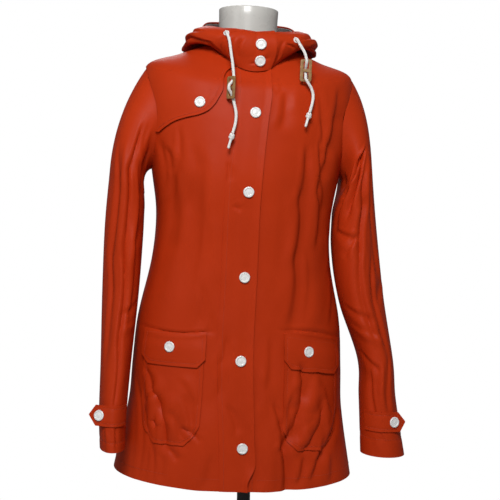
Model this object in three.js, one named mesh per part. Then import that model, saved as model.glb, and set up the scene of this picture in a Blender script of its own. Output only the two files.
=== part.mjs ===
// A hooded raincoat on a limbless dress form with a pole and a round base.
// Millimetres, +Z up. The wearer faces -Y and the wearer's left is +X. The origin is the
// centre of the base's underside. The coat and the form lean a little on the upright pole.

import * as THREE from "three";

// Cloth and the gaps between pieces
const WALL = 1.5;
const SEAM = 0.3;
const LAP = 0.6; // between a panel and what is sewn on top of it
const LEAN = THREE.MathUtils.degToRad(1.9);
const LEAN_HEIGHT = 1290; // where the leaning axis crosses the pole's axis

// Heights on the coat
const HEM = 649;
const UNDERARM = 1185;
const SHOULDER = 1375;
const NECK = 1495; // level of the neck ring, counted on along the shoulder
const NECK_SEAM = 1490;
const ARMHOLE_FRONT = 58;
const ARMHOLE_BACK = 62;

// Horizontal rings of the coat's body. Levels are heights at the side seam up to the shoulder
// tip, and run on along the shoulder seam to the neck. side, fore and aft are the ring's
// heights at the side, the centre front and the centre back.
const BODY_RINGS = [
  { level: HEM, width: 212, front: 138, back: 132, side: 653, fore: 643, aft: 648, square: 2.3 },
  { level: 774, width: 190, front: 129, back: 126, side: 774, fore: 774, aft: 774, square: 2.3 },
  { level: 844, width: 186, front: 124, back: 121, side: 844, fore: 844, aft: 844, square: 2.3 },
  { level: 922, width: 180, front: 119, back: 115, side: 922, fore: 922, aft: 922, square: 2.3 },
  { level: 1030, width: 159, front: 116, back: 104, side: 1030, fore: 1030, aft: 1030, square: 2.3 },
  { level: 1110, width: 155, front: 119, back: 105, side: 1110, fore: 1108, aft: 1110, square: 2.3 },
  { level: UNDERARM, width: 166, front: 122, back: 110, side: 1185, fore: 1178, aft: 1186, square: 2.3 },
  { level: 1275, width: 179, front: 115, back: 111, side: 1275, fore: 1250, aft: 1280, square: 2.25 },
  { level: SHOULDER, width: 182, front: 102, back: 97, side: 1362, fore: 1320, aft: 1366, square: 2.15 },
  { level: 1435, width: 124, front: 91, back: 81, side: 1387, fore: 1341, aft: 1399, square: 2.05 },
  { level: NECK, width: 65, front: 78, back: 62, side: 1411, fore: 1357, aft: 1425, square: 2 },
];

// The line of front snaps wanders a little off the middle.
const SNAP_LINE = [
  { z: HEM, x: 4 },
  { z: 716, x: 1 },
  { z: 863, x: -7 },
  { z: 1005, x: -6 },
  { z: 1150, x: -6 },
  { z: 1284, x: 1 },
  { z: 1357, x: 7 },
];
const PLACKET_RIGHT = -37;
const PLACKET_LEFT = 21;
const PLACKET_TOP = NECK_SEAM - 9;
const FRONT_SNAPS = [1284, 1150, 1005, 863, 716];
const COLLAR_SNAPS = [
  { name: "collar_snap_1", x: 8, z: 1403 },
  { name: "collar_snap_2", x: 8, z: 1376 },
];

// The largest folds: a soft ridge (depth over 0) or trough from one height to another.
const BODY_FOLDS = [
  { face: "front", x0: 98, z0: 835, x1: 82, z1: HEM, width: 22, depth: -5 },
  { face: "front", x0: 58, z0: 800, x1: 50, z1: HEM, width: 24, depth: 4 },
  { face: "front", x0: -60, z0: 800, x1: -72, z1: HEM, width: 26, depth: 4 },
  { face: "front", x0: 84, z0: 1060, x1: 80, z1: 930, width: 20, depth: -3 },
  { face: "front", x0: -120, z0: 1190, x1: -128, z1: 1060, width: 20, depth: -3 },
  { face: "back", x0: -70, z0: 900, x1: -84, z1: HEM, width: 30, depth: 7 },
  { face: "back", x0: 5, z0: 860, x1: 8, z1: HEM, width: 26, depth: -6 },
  { face: "back", x0: 86, z0: 880, x1: 98, z1: HEM, width: 30, depth: 7 },
];

// Storm flap: its free edge from the neck seam down and out to the armhole
const STORM_EDGE = [
  { x: -48, z: 1352 },
  { x: -54, z: 1326 },
  { x: -63, z: 1303 },
  { x: -76, z: 1286 },
  { x: -93, z: 1277 },
  { x: -113, z: 1272 },
  { x: -130, z: 1266 },
  { x: -144, z: 1257 },
  { x: -155, z: 1247 },
];
const STORM_SNAP = { name: "storm_flap_snap", x: -92, z: 1298 };
const STORM_TOP = NECK_SEAM - 8;
const STORM_INSET = 2.5; // from the armhole seam
const STORM_LEAST_TURN = 0.02;

// Patch pockets and their flaps, as rows of outline widths from top to bottom
const POCKET_ROWS = [
  { z: 880, inner: 69, outer: 166 },
  { z: 835, inner: 69, outer: 167 },
  { z: 790, inner: 70, outer: 168 },
  { z: 752, inner: 71, outer: 168 },
  { z: 733, inner: 80, outer: 160 },
  { z: 716, inner: 97, outer: 146 },
];
const FLAP_ROWS = [
  { z: 916, inner: 66, outer: 166 },
  { z: 892, inner: 66, outer: 167 },
  { z: 871, inner: 66, outer: 168 },
  { z: 857, inner: 79, outer: 158 },
];
const POCKET_BULGE = 5;
const FLAP_LIFT = 5;
const PATCH_COLUMNS = 8;
const PATCH_INNER = 66;
const PATCH_WIDTH = 100;
const PATCH_HALF_GIRTH = 183; // half the body's width there
const POCKET_SNAPS = [
  { name: "pocket_snap_right", x: -124, z: 881 },
  { name: "pocket_snap_left", x: 109, z: 880 },
];

// Sleeve sections from the upper arm to the cuff. tilt lifts the outer side of a section.
const SLEEVE_RIGHT = [
  { v: 0, z: 1150, x: 209, y: -12, wide: 31, deep: 62, tilt: 34 },
  { v: 1, z: 1070, x: 212, y: -18, wide: 33, deep: 60, tilt: 14 },
  { v: 2, z: 960, x: 214, y: -30, wide: 31, deep: 57, tilt: 2 },
  { v: 3, z: 850, x: 217, y: -54, wide: 26, deep: 54, tilt: 0 },
  { v: 4, z: 760, x: 219, y: -76, wide: 23, deep: 53, tilt: 0 },
  { v: 5, z: 705, x: 217, y: -88, wide: 21, deep: 52, tilt: 0 },
];
const SLEEVE_LEFT = [
  { v: 0, z: 1145, x: 195, y: -12, wide: 34, deep: 62, tilt: 32 },
  { v: 1, z: 1068, x: 200, y: -20, wide: 40, deep: 58, tilt: 14 },
  { v: 2, z: 972, x: 214, y: -32, wide: 40, deep: 55, tilt: 2 },
  { v: 3, z: 864, x: 243, y: -46, wide: 30, deep: 53, tilt: 0 },
  { v: 4, z: 796, x: 248, y: -56, wide: 31, deep: 50, tilt: 0 },
  { v: 5, z: 699, x: 260, y: -65, wide: 38, deep: 43, tilt: 0 },
];
const SLEEVE_CLEAR = 5; // least room between a sleeve and the body
const SLEEVE_EASE = 6; // how softly a sleeve is kept off the body
const ARMHOLE_MIDDLE = 170;

// Folds along the sleeves: angle 0 faces out, 90 front, 180 the body.
const SLEEVE_FOLDS = [
  { angle: 60, from: -0.3, to: 2.4, width: 26, depth: -5 },
  { angle: 120, from: 0.6, to: 3.6, width: 24, depth: 3 },
  { angle: 300, from: 0, to: 3, width: 30, depth: -5 },
];

// Cuff tabs: height on the sleeve, the angles between which they lie on it, the free length
// and the snap's place (1 is where a tab leaves its sleeve, 2 its tip)
const TAB_HEIGHT = 34;
const TAB_POINT = 13;
const CUFF_TABS = [
  { name: "right", z: 764, start: 150, leave: 75, free: 37, snap: 1.45 },
  { name: "left", z: 761, start: 150, leave: 75, free: 31, snap: 1.24 },
];

// Hood lying down: stations round the neck (degrees from the front), each with a profile from
// the neck seam outwards, over and up to the hood's edge, as radii and heights.
const HOOD_STATIONS = [
  { angle: 0, r1: 84, z1: 1374, r2: 87, z2: 1390, r3: 87, z3: 1405, r4: 84, z4: 1416, r5: 79, z5: 1424 },
  { angle: 38, r1: 89, z1: 1390, r2: 97, z2: 1402, r3: 98, z3: 1414, r4: 92, z4: 1424, r5: 84, z5: 1430 },
  { angle: 70, r1: 90, z1: 1410, r2: 110, z2: 1408, r3: 116, z3: 1420, r4: 104, z4: 1432, r5: 87, z5: 1438 },
  { angle: 100, r1: 92, z1: 1416, r2: 118, z2: 1402, r3: 120, z3: 1410, r4: 106, z4: 1425, r5: 88, z5: 1439 },
  { angle: 135, r1: 96, z1: 1422, r2: 132, z2: 1386, r3: 147, z3: 1396, r4: 122, z4: 1435, r5: 99, z5: 1461 },
  { angle: 180, r1: 99, z1: 1412, r2: 126, z2: 1318, r3: 153, z3: 1318, r4: 142, z4: 1423, r5: 97, z5: 1469 },
];
const HOOD_POINTS = 5;
const COLLAR_RADIUS = 87;
const HOOD_LIFT = WALL + 1.7;
const LINING_WALL = 1;

// Draw cords. The route is chosen by eye from the eyelet down to the knot.
const CORD = 5;
const CORD_STEP = 3.8;
const EYELETS = [
  { name: "eyelet_right", angle: -33, z: 1419 },
  { name: "eyelet_left", angle: 44, z: 1416 },
];
const EYELET_GAP = 0.2;
const CORD_ROUTE_RIGHT = [
  { x: -48, y: -93, z: 1410 },
  { x: -46, y: -98, z: 1399 },
  { x: -44, y: -103, z: 1384 },
  { x: -41, y: -110, z: 1364 },
  { x: -37, y: -118, z: 1300 },
  { x: -33, y: -124, z: 1280 },
  { x: -34, y: -127, z: 1263 },
  { x: -38, y: -130, z: 1247 },
];
const CORD_ROUTE_LEFT = [
  { x: 76, y: -86, z: 1407 },
  { x: 83, y: -99, z: 1391 },
  { x: 90, y: -103.5, z: 1341 },
  { x: 97, y: -101, z: 1331 },
  { x: 100, y: -102, z: 1319 },
  { x: 98, y: -106, z: 1304 },
  { x: 94, y: -110, z: 1290 },
];
const TOGGLES = [
  { name: "right", x: -43, y: -119, z: 1324, turn: -55, over: 1 },
  { name: "left", x: 86, y: -99, z: 1362, turn: 0, over: -1 },
];
const TOGGLE = { width: 20, height: 38, thick: 2.4, slotWidth: 9, slotHeight: 12, bar: 5 };
const TOGGLE_CORNER = 4;
const KNOT_RADIUS = 5;
const KNOT_GAP = 0.4;
const TAIL_RADIUS = 2.3;

// Turned profiles, as radii and heights
const SNAP_PROFILE = [[0, 0], [9.2, 0], [8.8, 2.3], [7, 2.7], [6.2, 2], [0, 2]];
const EYELET_PROFILE = [[3.3, 0], [5.2, 0], [5.2, 0.6], [4.6, 1.4], [3.9, 1.4], [3.3, 0.7], [3.3, 0]];
const KNOT_PROFILE = [
  [0, 0], [3, 0.2], [KNOT_RADIUS, 3], [KNOT_RADIUS, 8], [3, 11],
  [TAIL_RADIUS, 12], [TAIL_RADIUS, 26], [0.9, 27.5], [0, 27.5],
];

// Dress form, pole and base
const FORM_GAP = 4;
const FORM_TOUCH = 0.6; // along the shoulder seams, where the coat hangs on the form
const FORM_SLIM = 14; // how much slimmer the form is than the coat at its hips
const FORM_ARMHOLE = 3;
const NECK_RADIUS = 53;
const NECK_SHIFT = -6;
const FORM_TOP = 1476;
const FORM_BOTTOM = 800;
const POLE_RADIUS = 12;
const POLE_TOP = 980;
const BASE_RADIUS = 180;
const BASE_THICK = 12;
const BASE_RIM = 3;

const COLOURS = {
  cloth: { color: 0xb83a1b, roughness: 0.5, metalness: 0 },
  lining: { color: 0x8d8d90, roughness: 0.95, metalness: 0 },
  snap: { color: 0xf2f2f0, roughness: 0.3, metalness: 0 },
  cord: { color: 0xf4f3ef, roughness: 0.85, metalness: 0 },
  toggle: { color: 0x96693a, roughness: 0.6, metalness: 0 },
  form: { color: 0xcdcac4, roughness: 0.35, metalness: 0 },
  stand: { color: 0x141414, roughness: 0.4, metalness: 0.6 },
};

const material = (name) => new THREE.MeshStandardMaterial(COLOURS[name]);
const vec = (x, y, z) => new THREE.Vector3(x, y, z);
const degrees = THREE.MathUtils.degToRad;
const clamp = THREE.MathUtils.clamp;
const lerp = THREE.MathUtils.lerp;
const smooth = THREE.MathUtils.smoothstep;

function steps(from, to, count) {
  return Array.from({ length: count + 1 }, (_, i) => lerp(from, to, i / count));
}

// One column of a table, smoothly interpolated at a place along another column.
function along(rows, key, at, column) {
  let i = 0;
  while (i < rows.length - 2 && at > rows[i + 1][key]) i++;
  const here = rows[i];
  const next = rows[i + 1];
  const before = rows[i - 1] ?? here;
  const after = rows[i + 2] ?? next;
  const span = next[key] - here[key];
  const slopeHere = ((next[column] - before[column]) / (next[key] - before[key])) * span;
  const slopeNext = ((after[column] - here[column]) / (after[key] - here[key])) * span;
  const u = clamp((at - here[key]) / span, 0, 1);
  return hermite(here[column], slopeHere, next[column], slopeNext, u);
}

function hermite(p0, m0, p1, m1, u) {
  const u2 = u * u;
  const u3 = u2 * u;
  return (2 * u3 - 3 * u2 + 1) * p0 + (u3 - 2 * u2 + u) * m0 + (3 * u2 - 2 * u3) * p1 + (u3 - u2) * m1;
}

const power = (value, exponent) => Math.sign(value) * Math.abs(value) ** exponent;

// Body surface. theta is 0 at the centre front and grows towards the wearer's left.
function ringAt(level) {
  const ring = {};
  for (const column of ["width", "front", "back", "side", "fore", "aft", "square"])
    ring[column] = along(BODY_RINGS, "level", level, column);
  return ring;
}

function foldDepth(face, x, z) {
  let depth = 0;
  for (const fold of BODY_FOLDS) {
    if (fold.face !== face) continue;
    const ax = fold.x1 - fold.x0;
    const az = fold.z1 - fold.z0;
    const u = clamp(((x - fold.x0) * ax + (z - fold.z0) * az) / (ax * ax + az * az), 0, 1);
    const distance = Math.hypot(x - fold.x0 - u * ax, z - fold.z0 - u * az);
    depth += fold.depth * smooth(u, 0, 0.35) * Math.exp(-((distance / fold.width) ** 2));
  }
  return depth;
}

function bodyAt(theta, level) {
  const ring = ringAt(level);
  const sin = Math.sin(theta);
  const cos = Math.cos(theta);
  const x = ring.width * power(sin, 2 / ring.square);
  const depth = cos > 0 ? ring.front : ring.back;
  const y = -depth * power(cos, 2 / ring.square);
  const z = lerp(ring.side, cos > 0 ? ring.fore : ring.aft, cos * cos);
  const fold = foldDepth(cos > 0 ? "front" : "back", x, z) * Math.abs(cos);
  return vec(x + fold * sin, y - fold * cos, z);
}

const body = { at: bodyAt, du: 0.01, dv: 1, low: HEM, high: NECK };

// A point of a surface moved out along its normal. A surface has at(u, v), the steps for its
// slopes and the range of v.
function normalOf(surface, u, v) {
  const du = surface
    .at(u + surface.du, v)
    .sub(surface.at(u - surface.du, v));
  const high = Math.min(v + surface.dv, surface.high);
  const low = Math.max(v - surface.dv, surface.low);
  const dv = surface.at(u, high).sub(surface.at(u, low));
  return du.cross(dv).normalize().multiplyScalar(surface.sign ?? 1);
}

const out = (surface, u, v, lift) => surface.at(u, v).addScaledVector(normalOf(surface, u, v), lift);

// theta where a ring of the body is at a given x on the front
function thetaAtX(level, x) {
  const ring = ringAt(level);
  return Math.asin(clamp(power(x / ring.width, ring.square / 2), -1, 1));
}

// The surface coordinates of a place on the front, from its x and height
function frontPlace(x, z) {
  let low = HEM;
  let high = NECK;
  for (let i = 0; i < 40; i++) {
    const level = (low + high) / 2;
    if (bodyAt(thetaAtX(level, x), level).z < z) low = level;
    else high = level;
  }
  return [thetaAtX(low, x), low];
}

// theta of a panel's outer edge: the side seam, the shoulder seam, or the armhole, which is
// an ellipse-like loop
function edgeTheta(level, front) {
  const quarter = Math.PI / 2;
  if (level <= UNDERARM || level >= SHOULDER) return quarter;
  const ring = ringAt(level);
  const rise = (level - UNDERARM) / (SHOULDER - UNDERARM);
  const reach = (front ? ARMHOLE_FRONT : ARMHOLE_BACK) * Math.sin(Math.acos(clamp(1 - 2 * rise, -1, 1)));
  const depth = front ? ring.front : ring.back;
  const turn = Math.acos((reach / depth) ** (ring.square / 2));
  return front ? turn : Math.PI - turn;
}

// A closed wall over a grid of surface coordinates. lift is a number or a function of u, v.
function wall(surface, grid, lift, thickness, wrap = false) {
  const rows = grid.length;
  const columns = grid[0].length;
  const points = [];
  const depth = typeof lift === "function" ? lift : () => lift;
  for (const extra of [thickness, 0])
    for (const row of grid)
      for (const [u, v] of row) points.push(out(surface, u, v, depth(u, v) + extra));
  const outer = (i, j) => i * columns + (j % columns);
  const inner = (i, j) => outer(i, j) + rows * columns;
  const faces = [];
  const quad = (a, b, c, d) => faces.push(a, b, c, a, c, d);
  const across = wrap ? columns : columns - 1;
  for (let i = 0; i < rows - 1; i++)
    for (let j = 0; j < across; j++) {
      quad(outer(i, j), outer(i, j + 1), outer(i + 1, j + 1), outer(i + 1, j));
      quad(inner(i, j), inner(i + 1, j), inner(i + 1, j + 1), inner(i, j + 1));
    }
  for (let j = 0; j < across; j++) {
    quad(outer(0, j + 1), outer(0, j), inner(0, j), inner(0, j + 1));
    quad(outer(rows - 1, j), outer(rows - 1, j + 1), inner(rows - 1, j + 1), inner(rows - 1, j));
  }
  if (!wrap)
    for (let i = 0; i < rows - 1; i++) {
      quad(outer(i, 0), outer(i + 1, 0), inner(i + 1, 0), inner(i, 0));
      quad(outer(i + 1, across), outer(i, across), inner(i, across), inner(i + 1, across));
    }
  return solid(points, faces);
}

// Closed solid through rings of equal point counts, with a fan at each end
function loft(rings) {
  const columns = rings[0].length;
  const points = rings.flat();
  const faces = [];
  for (let i = 0; i < rings.length - 1; i++)
    for (let j = 0; j < columns; j++) {
      const next = (j + 1) % columns;
      const a = i * columns;
      const b = a + columns;
      faces.push(a + j, a + next, b + next, a + j, b + next, b + j);
    }
  for (const [start, forward] of [[0, false], [(rings.length - 1) * columns, true]]) {
    const ring = points.slice(start, start + columns);
    const centre = points.length;
    points.push(ring.reduce((sum, p) => sum.add(p), vec(0, 0, 0)).divideScalar(columns));
    for (let j = 0; j < columns; j++) {
      const pair = [start + j, start + ((j + 1) % columns)];
      faces.push(centre, ...(forward ? pair : pair.reverse()));
    }
  }
  return solid(points, faces);
}

// Indexed geometry with its faces pointing out
function solid(points, faces) {
  let volume = 0;
  for (let i = 0; i < faces.length; i += 3) {
    const [a, b, c] = [points[faces[i]], points[faces[i + 1]], points[faces[i + 2]]];
    volume += a.dot(b.clone().cross(c));
  }
  if (volume < 0)
    for (let i = 0; i < faces.length; i += 3) [faces[i], faces[i + 1]] = [faces[i + 1], faces[i]];
  const geometry = new THREE.BufferGeometry().setFromPoints(points);
  geometry.setIndex(faces);
  geometry.computeVertexNormals();
  return geometry;
}

const group = new THREE.Group();
const leaning = new THREE.Group();
const leaningInner = new THREE.Group();
leaning.position.z = LEAN_HEIGHT;
leaning.rotation.y = LEAN;
leaningInner.position.z = -LEAN_HEIGHT;
leaning.add(leaningInner);
group.add(leaning);

function add(name, geometry, look, parent = leaningInner) {
  const mesh = new THREE.Mesh(geometry, material(look));
  mesh.name = name;
  parent.add(mesh);
  return mesh;
}

// Panel levels: even below the armhole, closer at its ends, then up the shoulder
const SHOULDER_LEVELS = steps(SHOULDER, NECK, 5);
const LEVELS = [
  ...steps(HEM, UNDERARM, 11),
  ...steps(0, 1, 8)
    .slice(1)
    .map((share) => UNDERARM + ((SHOULDER - UNDERARM) * (1 - Math.cos(Math.PI * share))) / 2),
  ...SHOULDER_LEVELS.slice(1),
];
const trim = (level) => SEAM / 2 / ringAt(level).width;
const snapLineAt = (level) => along(SNAP_LINE, "z", Math.min(level, 1357), "x");

function frontRight() {
  const grid = LEVELS.map((level) => {
    const inner = thetaAtX(level, snapLineAt(level) + PLACKET_RIGHT - 2 * SEAM);
    return steps(-edgeTheta(level, true) + trim(level), inner, 10).map((theta) => [theta, level]);
  });
  add("front_right", wall(body, grid, 0, WALL), "cloth");
}

function frontLeft() {
  const grid = LEVELS.map((level) => {
    const inner = thetaAtX(level, snapLineAt(level) + PLACKET_RIGHT + SEAM);
    return steps(inner, edgeTheta(level, true) - trim(level), 13).map((theta) => [theta, level]);
  });
  add("front_left", wall(body, grid, 0, WALL), "cloth");
}

function back() {
  const grid = LEVELS.map((level) => {
    const edge = edgeTheta(level, false) + trim(level);
    return steps(edge, 2 * Math.PI - edge, 20).map((theta) => [theta, level]);
  });
  add("back", wall(body, grid, 0, WALL), "cloth");
}

// The placket lies on the left front, from the hem to the neck seam.
function placket() {
  const closest = 11;
  const levels = [...LEVELS.filter((level) => level < PLACKET_TOP - closest), PLACKET_TOP];
  const grid = levels.map((level) => {
    const middle = snapLineAt(level);
    return steps(middle + PLACKET_RIGHT, middle + PLACKET_LEFT, 4).map((x) => [thetaAtX(level, x), level]);
  });
  add("placket", wall(body, grid, WALL + LAP, WALL), "cloth");
}

function stormFlap() {
  const edge = STORM_EDGE.map(({ x, z }) => frontPlace(x, z)).map(([theta, level]) => ({ theta, level }));
  edge.reverse();
  const closest = 3;
  const first = edge[0].level;
  const levels = [...edge.map(({ level }) => level), ...LEVELS, STORM_TOP]
    .filter((level) => level >= first && level <= STORM_TOP)
    .sort((a, b) => a - b)
    .filter((level, i, all) => !i || level - all[i - 1] > closest);
  const last = edge.at(-1);
  const rows = [...edge, { theta: last.theta * 1.03, level: Math.max(STORM_TOP, last.level + 1) }];
  const grid = levels.map((level) => {
    const inner = along(rows, "level", level, "theta");
    const outer = -edgeTheta(level, true) + STORM_INSET / ringAt(level).width;
    return steps(Math.min(outer, inner - STORM_LEAST_TURN), inner, 9).map((theta) => [theta, level]);
  });
  add("storm_flap", wall(body, grid, WALL + LAP, WALL), "cloth");
}

// How far a patch hangs below its rows: a little on the wearer's right, and more and more
// towards the side seam on the left.
function sagAt(side, x, z) {
  const high = smooth(z, 760, 860);
  return side < 0 ? 8 * high : 4 + ((3 + 12 * high) * (x - PATCH_INNER)) / PATCH_WIDTH;
}

// The height in a patch's own rows of a place on the body
function rowHeight(theta, level) {
  const x = PATCH_HALF_GIRTH * power(Math.abs(Math.sin(theta)), 0.87);
  return level + sagAt(Math.sin(theta), x, level + 5);
}

// Patches on the front: rows of outline widths, on one side of the coat
function patch(name, rows, side, lift) {
  const place = (x, z) => frontPlace(side * x, z - sagAt(side, x, z));
  const grid = rows.map((row) => steps(row.inner, row.outer, PATCH_COLUMNS).map((x) => place(x, row.z)));
  add(name, wall(body, grid, lift, WALL), "cloth");
}

// A pocket stands out softly in its lower middle.
function pocketLift(theta, level) {
  const z = rowHeight(theta, level);
  const height = smooth(z, 716, 775) * (1 - smooth(z, 790, 868));
  const edge = Math.abs(Math.sin(theta));
  const across = smooth(edge, 0.34, 0.55) * (1 - smooth(edge, 0.72, 0.88));
  return WALL + LAP + POCKET_BULGE * height * across;
}

// A flap is sewn on above its pocket's mouth and lies over it.
function flapLift(theta, level) {
  return lerp(WALL + LAP, FLAP_LIFT, 1 - smooth(rowHeight(theta, level), 884, 914));
}

// The rows of a patch with one more between each two
const closerRows = (rows) =>
  rows.flatMap((row, i) => {
    if (!i) return [row];
    const middle = {};
    for (const column of ["z", "inner", "outer"]) middle[column] = (row[column] + rows[i - 1][column]) / 2;
    return [middle, row];
  });

function pockets() {
  for (const [name, side] of [["right", -1], ["left", 1]]) {
    patch("pocket_" + name, closerRows(POCKET_ROWS), side, pocketLift);
    patch("pocket_flap_" + name, closerRows(FLAP_ROWS), side, flapLift);
  }
}

// Sleeves. A turn is 0 at the shoulder, or facing out lower down, and a quarter at the front.
function loopAt(side, turn, lift) {
  const rise = (1 + Math.cos(turn)) / 2;
  const level = lerp(UNDERARM, SHOULDER, rise);
  const front = Math.sin(turn) > 0;
  return out(body, side * edgeTheta(level, front), level, lift);
}

// The sleeve's first ring lies just inside the armhole's edge.
function sleeveStart(side, turn) {
  const step = 0.02;
  const point = loopAt(side, turn, WALL / 2);
  const centre = vec(side * ARMHOLE_MIDDLE, 0, (UNDERARM + SHOULDER) / 2);
  const tangent = loopAt(side, turn + step, WALL / 2).sub(loopAt(side, turn - step, WALL / 2));
  const level = lerp(UNDERARM, SHOULDER, (1 + Math.cos(turn)) / 2);
  const normal = normalOf(body, side * edgeTheta(level, Math.sin(turn) > 0), level);
  const inwards = tangent.cross(normal).normalize();
  if (inwards.dot(centre.clone().sub(point)) < 0) inwards.negate();
  return point.addScaledVector(inwards, WALL / 2 + LAP);
}

function sectionAt(rows, side, turn, v) {
  const column = (name) => along(rows, "v", v, name);
  const x = column("x") + column("wide") * Math.cos(turn);
  const y = column("y") - column("deep") * Math.sin(turn);
  const z = column("z") + column("tilt") * Math.cos(turn);
  return vec(side * x, y, z);
}

// Half width of the body at a depth and height, to keep the sleeves clear of it
function halfWidthAt(y, z) {
  const ring = ringAt(clamp(z, HEM, UNDERARM));
  const depth = y < 0 ? ring.front : ring.back;
  const cos = clamp(Math.abs(y) / depth, 0, 1) ** (ring.square / 2);
  return ring.width * Math.sqrt(1 - cos * cos) ** (2 / ring.square);
}

// The cap runs from the armhole (v is -1) to the upper arm (0): it leaves the shoulder
// sloping down, and the underarm nearly level.
function capAt(rows, side, turn, v) {
  const start = sleeveStart(side, turn);
  const end = sectionAt(rows, side, turn, 0);
  const low = (1 - Math.cos(turn)) / 2;
  const leave = vec(side * (0.56 + 0.39 * low), 0, 0.49 * low - 0.82).normalize();
  const arrive = sectionAt(rows, side, turn, 0.1).sub(end).normalize();
  const reach = start.distanceTo(end);
  const point = vec(0, 0, 0);
  for (const axis of ["x", "y", "z"])
    point[axis] = hermite(start[axis], leave[axis] * reach, end[axis], arrive[axis] * reach, v + 1);
  return point;
}

function sleeveFold(turn, v) {
  const fade = 0.6;
  let fold = 0;
  for (const row of SLEEVE_FOLDS) {
    const turned = turn - degrees(row.angle);
    const away = Math.abs(Math.atan2(Math.sin(turned), Math.cos(turned)));
    const span = smooth(v, row.from, row.from + fade) * (1 - smooth(v, row.to - fade, row.to));
    fold += row.depth * span * Math.exp(-((away / degrees(row.width)) ** 2));
  }
  return fold;
}

function sleeveAt(rows, side, turn, v) {
  const point = v >= 0 ? sectionAt(rows, side, turn, v) : capAt(rows, side, turn, v);
  const fold = sleeveFold(turn, v);
  point.x += side * fold * Math.cos(turn);
  point.y -= fold * Math.sin(turn);
  const belowArm = UNDERARM - 4;
  if (point.z > belowArm) return point;
  const short = halfWidthAt(point.y, point.z) + SLEEVE_CLEAR - side * point.x;
  if (short > SLEEVE_EASE) point.x += side * short;
  else if (short > -SLEEVE_EASE) point.x += (side * (short + SLEEVE_EASE) ** 2) / (4 * SLEEVE_EASE);
  return point;
}

const SLEEVES = {
  right: { side: -1, rows: SLEEVE_RIGHT },
  left: { side: 1, rows: SLEEVE_LEFT },
};

function sleeveSurface({ side, rows }) {
  const at = (turn, v) => sleeveAt(rows, side, side * turn, v);
  return { at, du: 0.05, dv: 0.02, low: -1, high: 5 };
}

function sleeves() {
  const vs = [...steps(-1, 0, 6), ...steps(0, 5, 10).slice(1)];
  for (const [name, sleeve] of Object.entries(SLEEVES)) {
    const surface = sleeveSurface(sleeve);
    const grid = vs.map((v) => steps(0, 2 * Math.PI, 16).slice(0, -1).map((turn) => [turn, v]));
    add("sleeve_" + name, wall(surface, grid, -WALL / 2, WALL, true), "cloth");
  }
}

// A tab lies on the sleeve from its start angle, then leaves it straight.
function tabSurface(tab) {
  const sleeve = SLEEVES[tab.name];
  const cloth = sleeveSurface(sleeve);
  const turned = (angle) => sleeve.side * degrees(angle);
  const heightToV = (z) => {
    let low = 3;
    let high = 5;
    for (let i = 0; i < 30; i++) {
      const v = (low + high) / 2;
      if (cloth.at(0, v).z > z) low = v;
      else high = v;
    }
    return low;
  };
  const lift = WALL / 2 + LAP;
  const step = 3;
  const at = (u, z) => {
    const v = heightToV(z);
    if (u <= 1) return out(cloth, turned(lerp(tab.start, tab.leave, u)), v, lift);
    const last = out(cloth, turned(tab.leave), v, lift);
    const before = out(cloth, turned(tab.leave + step), v, lift);
    return last.add(last.clone().sub(before).normalize().multiplyScalar((u - 1) * tab.free));
  };
  return { at, du: 0.01, dv: 1, low: tab.z - TAB_HEIGHT, high: tab.z + TAB_HEIGHT, sign: sleeve.side };
}

function cuffTabs() {
  const half = TAB_HEIGHT / 2;
  const shortest = 0.02;
  for (const tab of CUFF_TABS) {
    const surface = tabSurface(tab);
    const point = TAB_POINT / tab.free;
    const corner = 2 - point;
    const grid = steps(-half, half, 4).map((high) => {
      const tip = 2 - point * (Math.abs(high) / half);
      const columns = [...steps(0, 1, 8), (1 + corner) / 2, Math.min(corner, tip - shortest), tip];
      return columns.map((u) => [u, tab.z + high]);
    });
    add("cuff_tab_" + tab.name, wall(surface, grid, 0, WALL), "cloth");
    const at = surface.at(tab.snap, tab.z);
    const normal = normalOf(surface, tab.snap, tab.z);
    snap("cuff_snap_" + tab.name, { at, normal }, WALL);
  }
}

// Hood
function hoodAt(theta, s) {
  const angle = Math.abs(THREE.MathUtils.radToDeg(theta));
  const points = [out(body, theta, NECK_SEAM, HOOD_LIFT)];
  for (let i = 1; i <= HOOD_POINTS; i++) {
    const r = along(HOOD_STATIONS, "angle", angle, "r" + i);
    const z = along(HOOD_STATIONS, "angle", angle, "z" + i);
    points.push(vec(r * Math.sin(theta), -r * Math.cos(theta), z));
  }
  const place = clamp(s, 0, 1) * HOOD_POINTS;
  const i = Math.min(Math.floor(place), HOOD_POINTS - 1);
  const here = points[i];
  const next = points[i + 1];
  const before = points[i - 1] ?? here.clone().multiplyScalar(2).sub(next);
  const after = points[i + 2] ?? next.clone().multiplyScalar(2).sub(here);
  const result = vec(0, 0, 0);
  for (const axis of ["x", "y", "z"]) {
    const leave = (next[axis] - before[axis]) / 2;
    const arrive = (after[axis] - here[axis]) / 2;
    result[axis] = hermite(here[axis], leave, next[axis], arrive, place - i);
  }
  return result;
}

const hood = { at: hoodAt, du: 0.01, dv: 0.01, low: 0, high: 1 };

// The right half of the collar laps over the left at the front.
function hoodLap(theta) {
  return -WALL / 2 + (WALL + LAP) * smooth(theta, degrees(-44), degrees(-24));
}

// Columns from the centre back towards the front, and the laps over the centre front
const HOOD_COLUMNS = steps(180, 24, 12);
const LAP_RIGHT = [12, 0, -12, -22];
const LAP_LEFT = [12, 0, -12];

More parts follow.
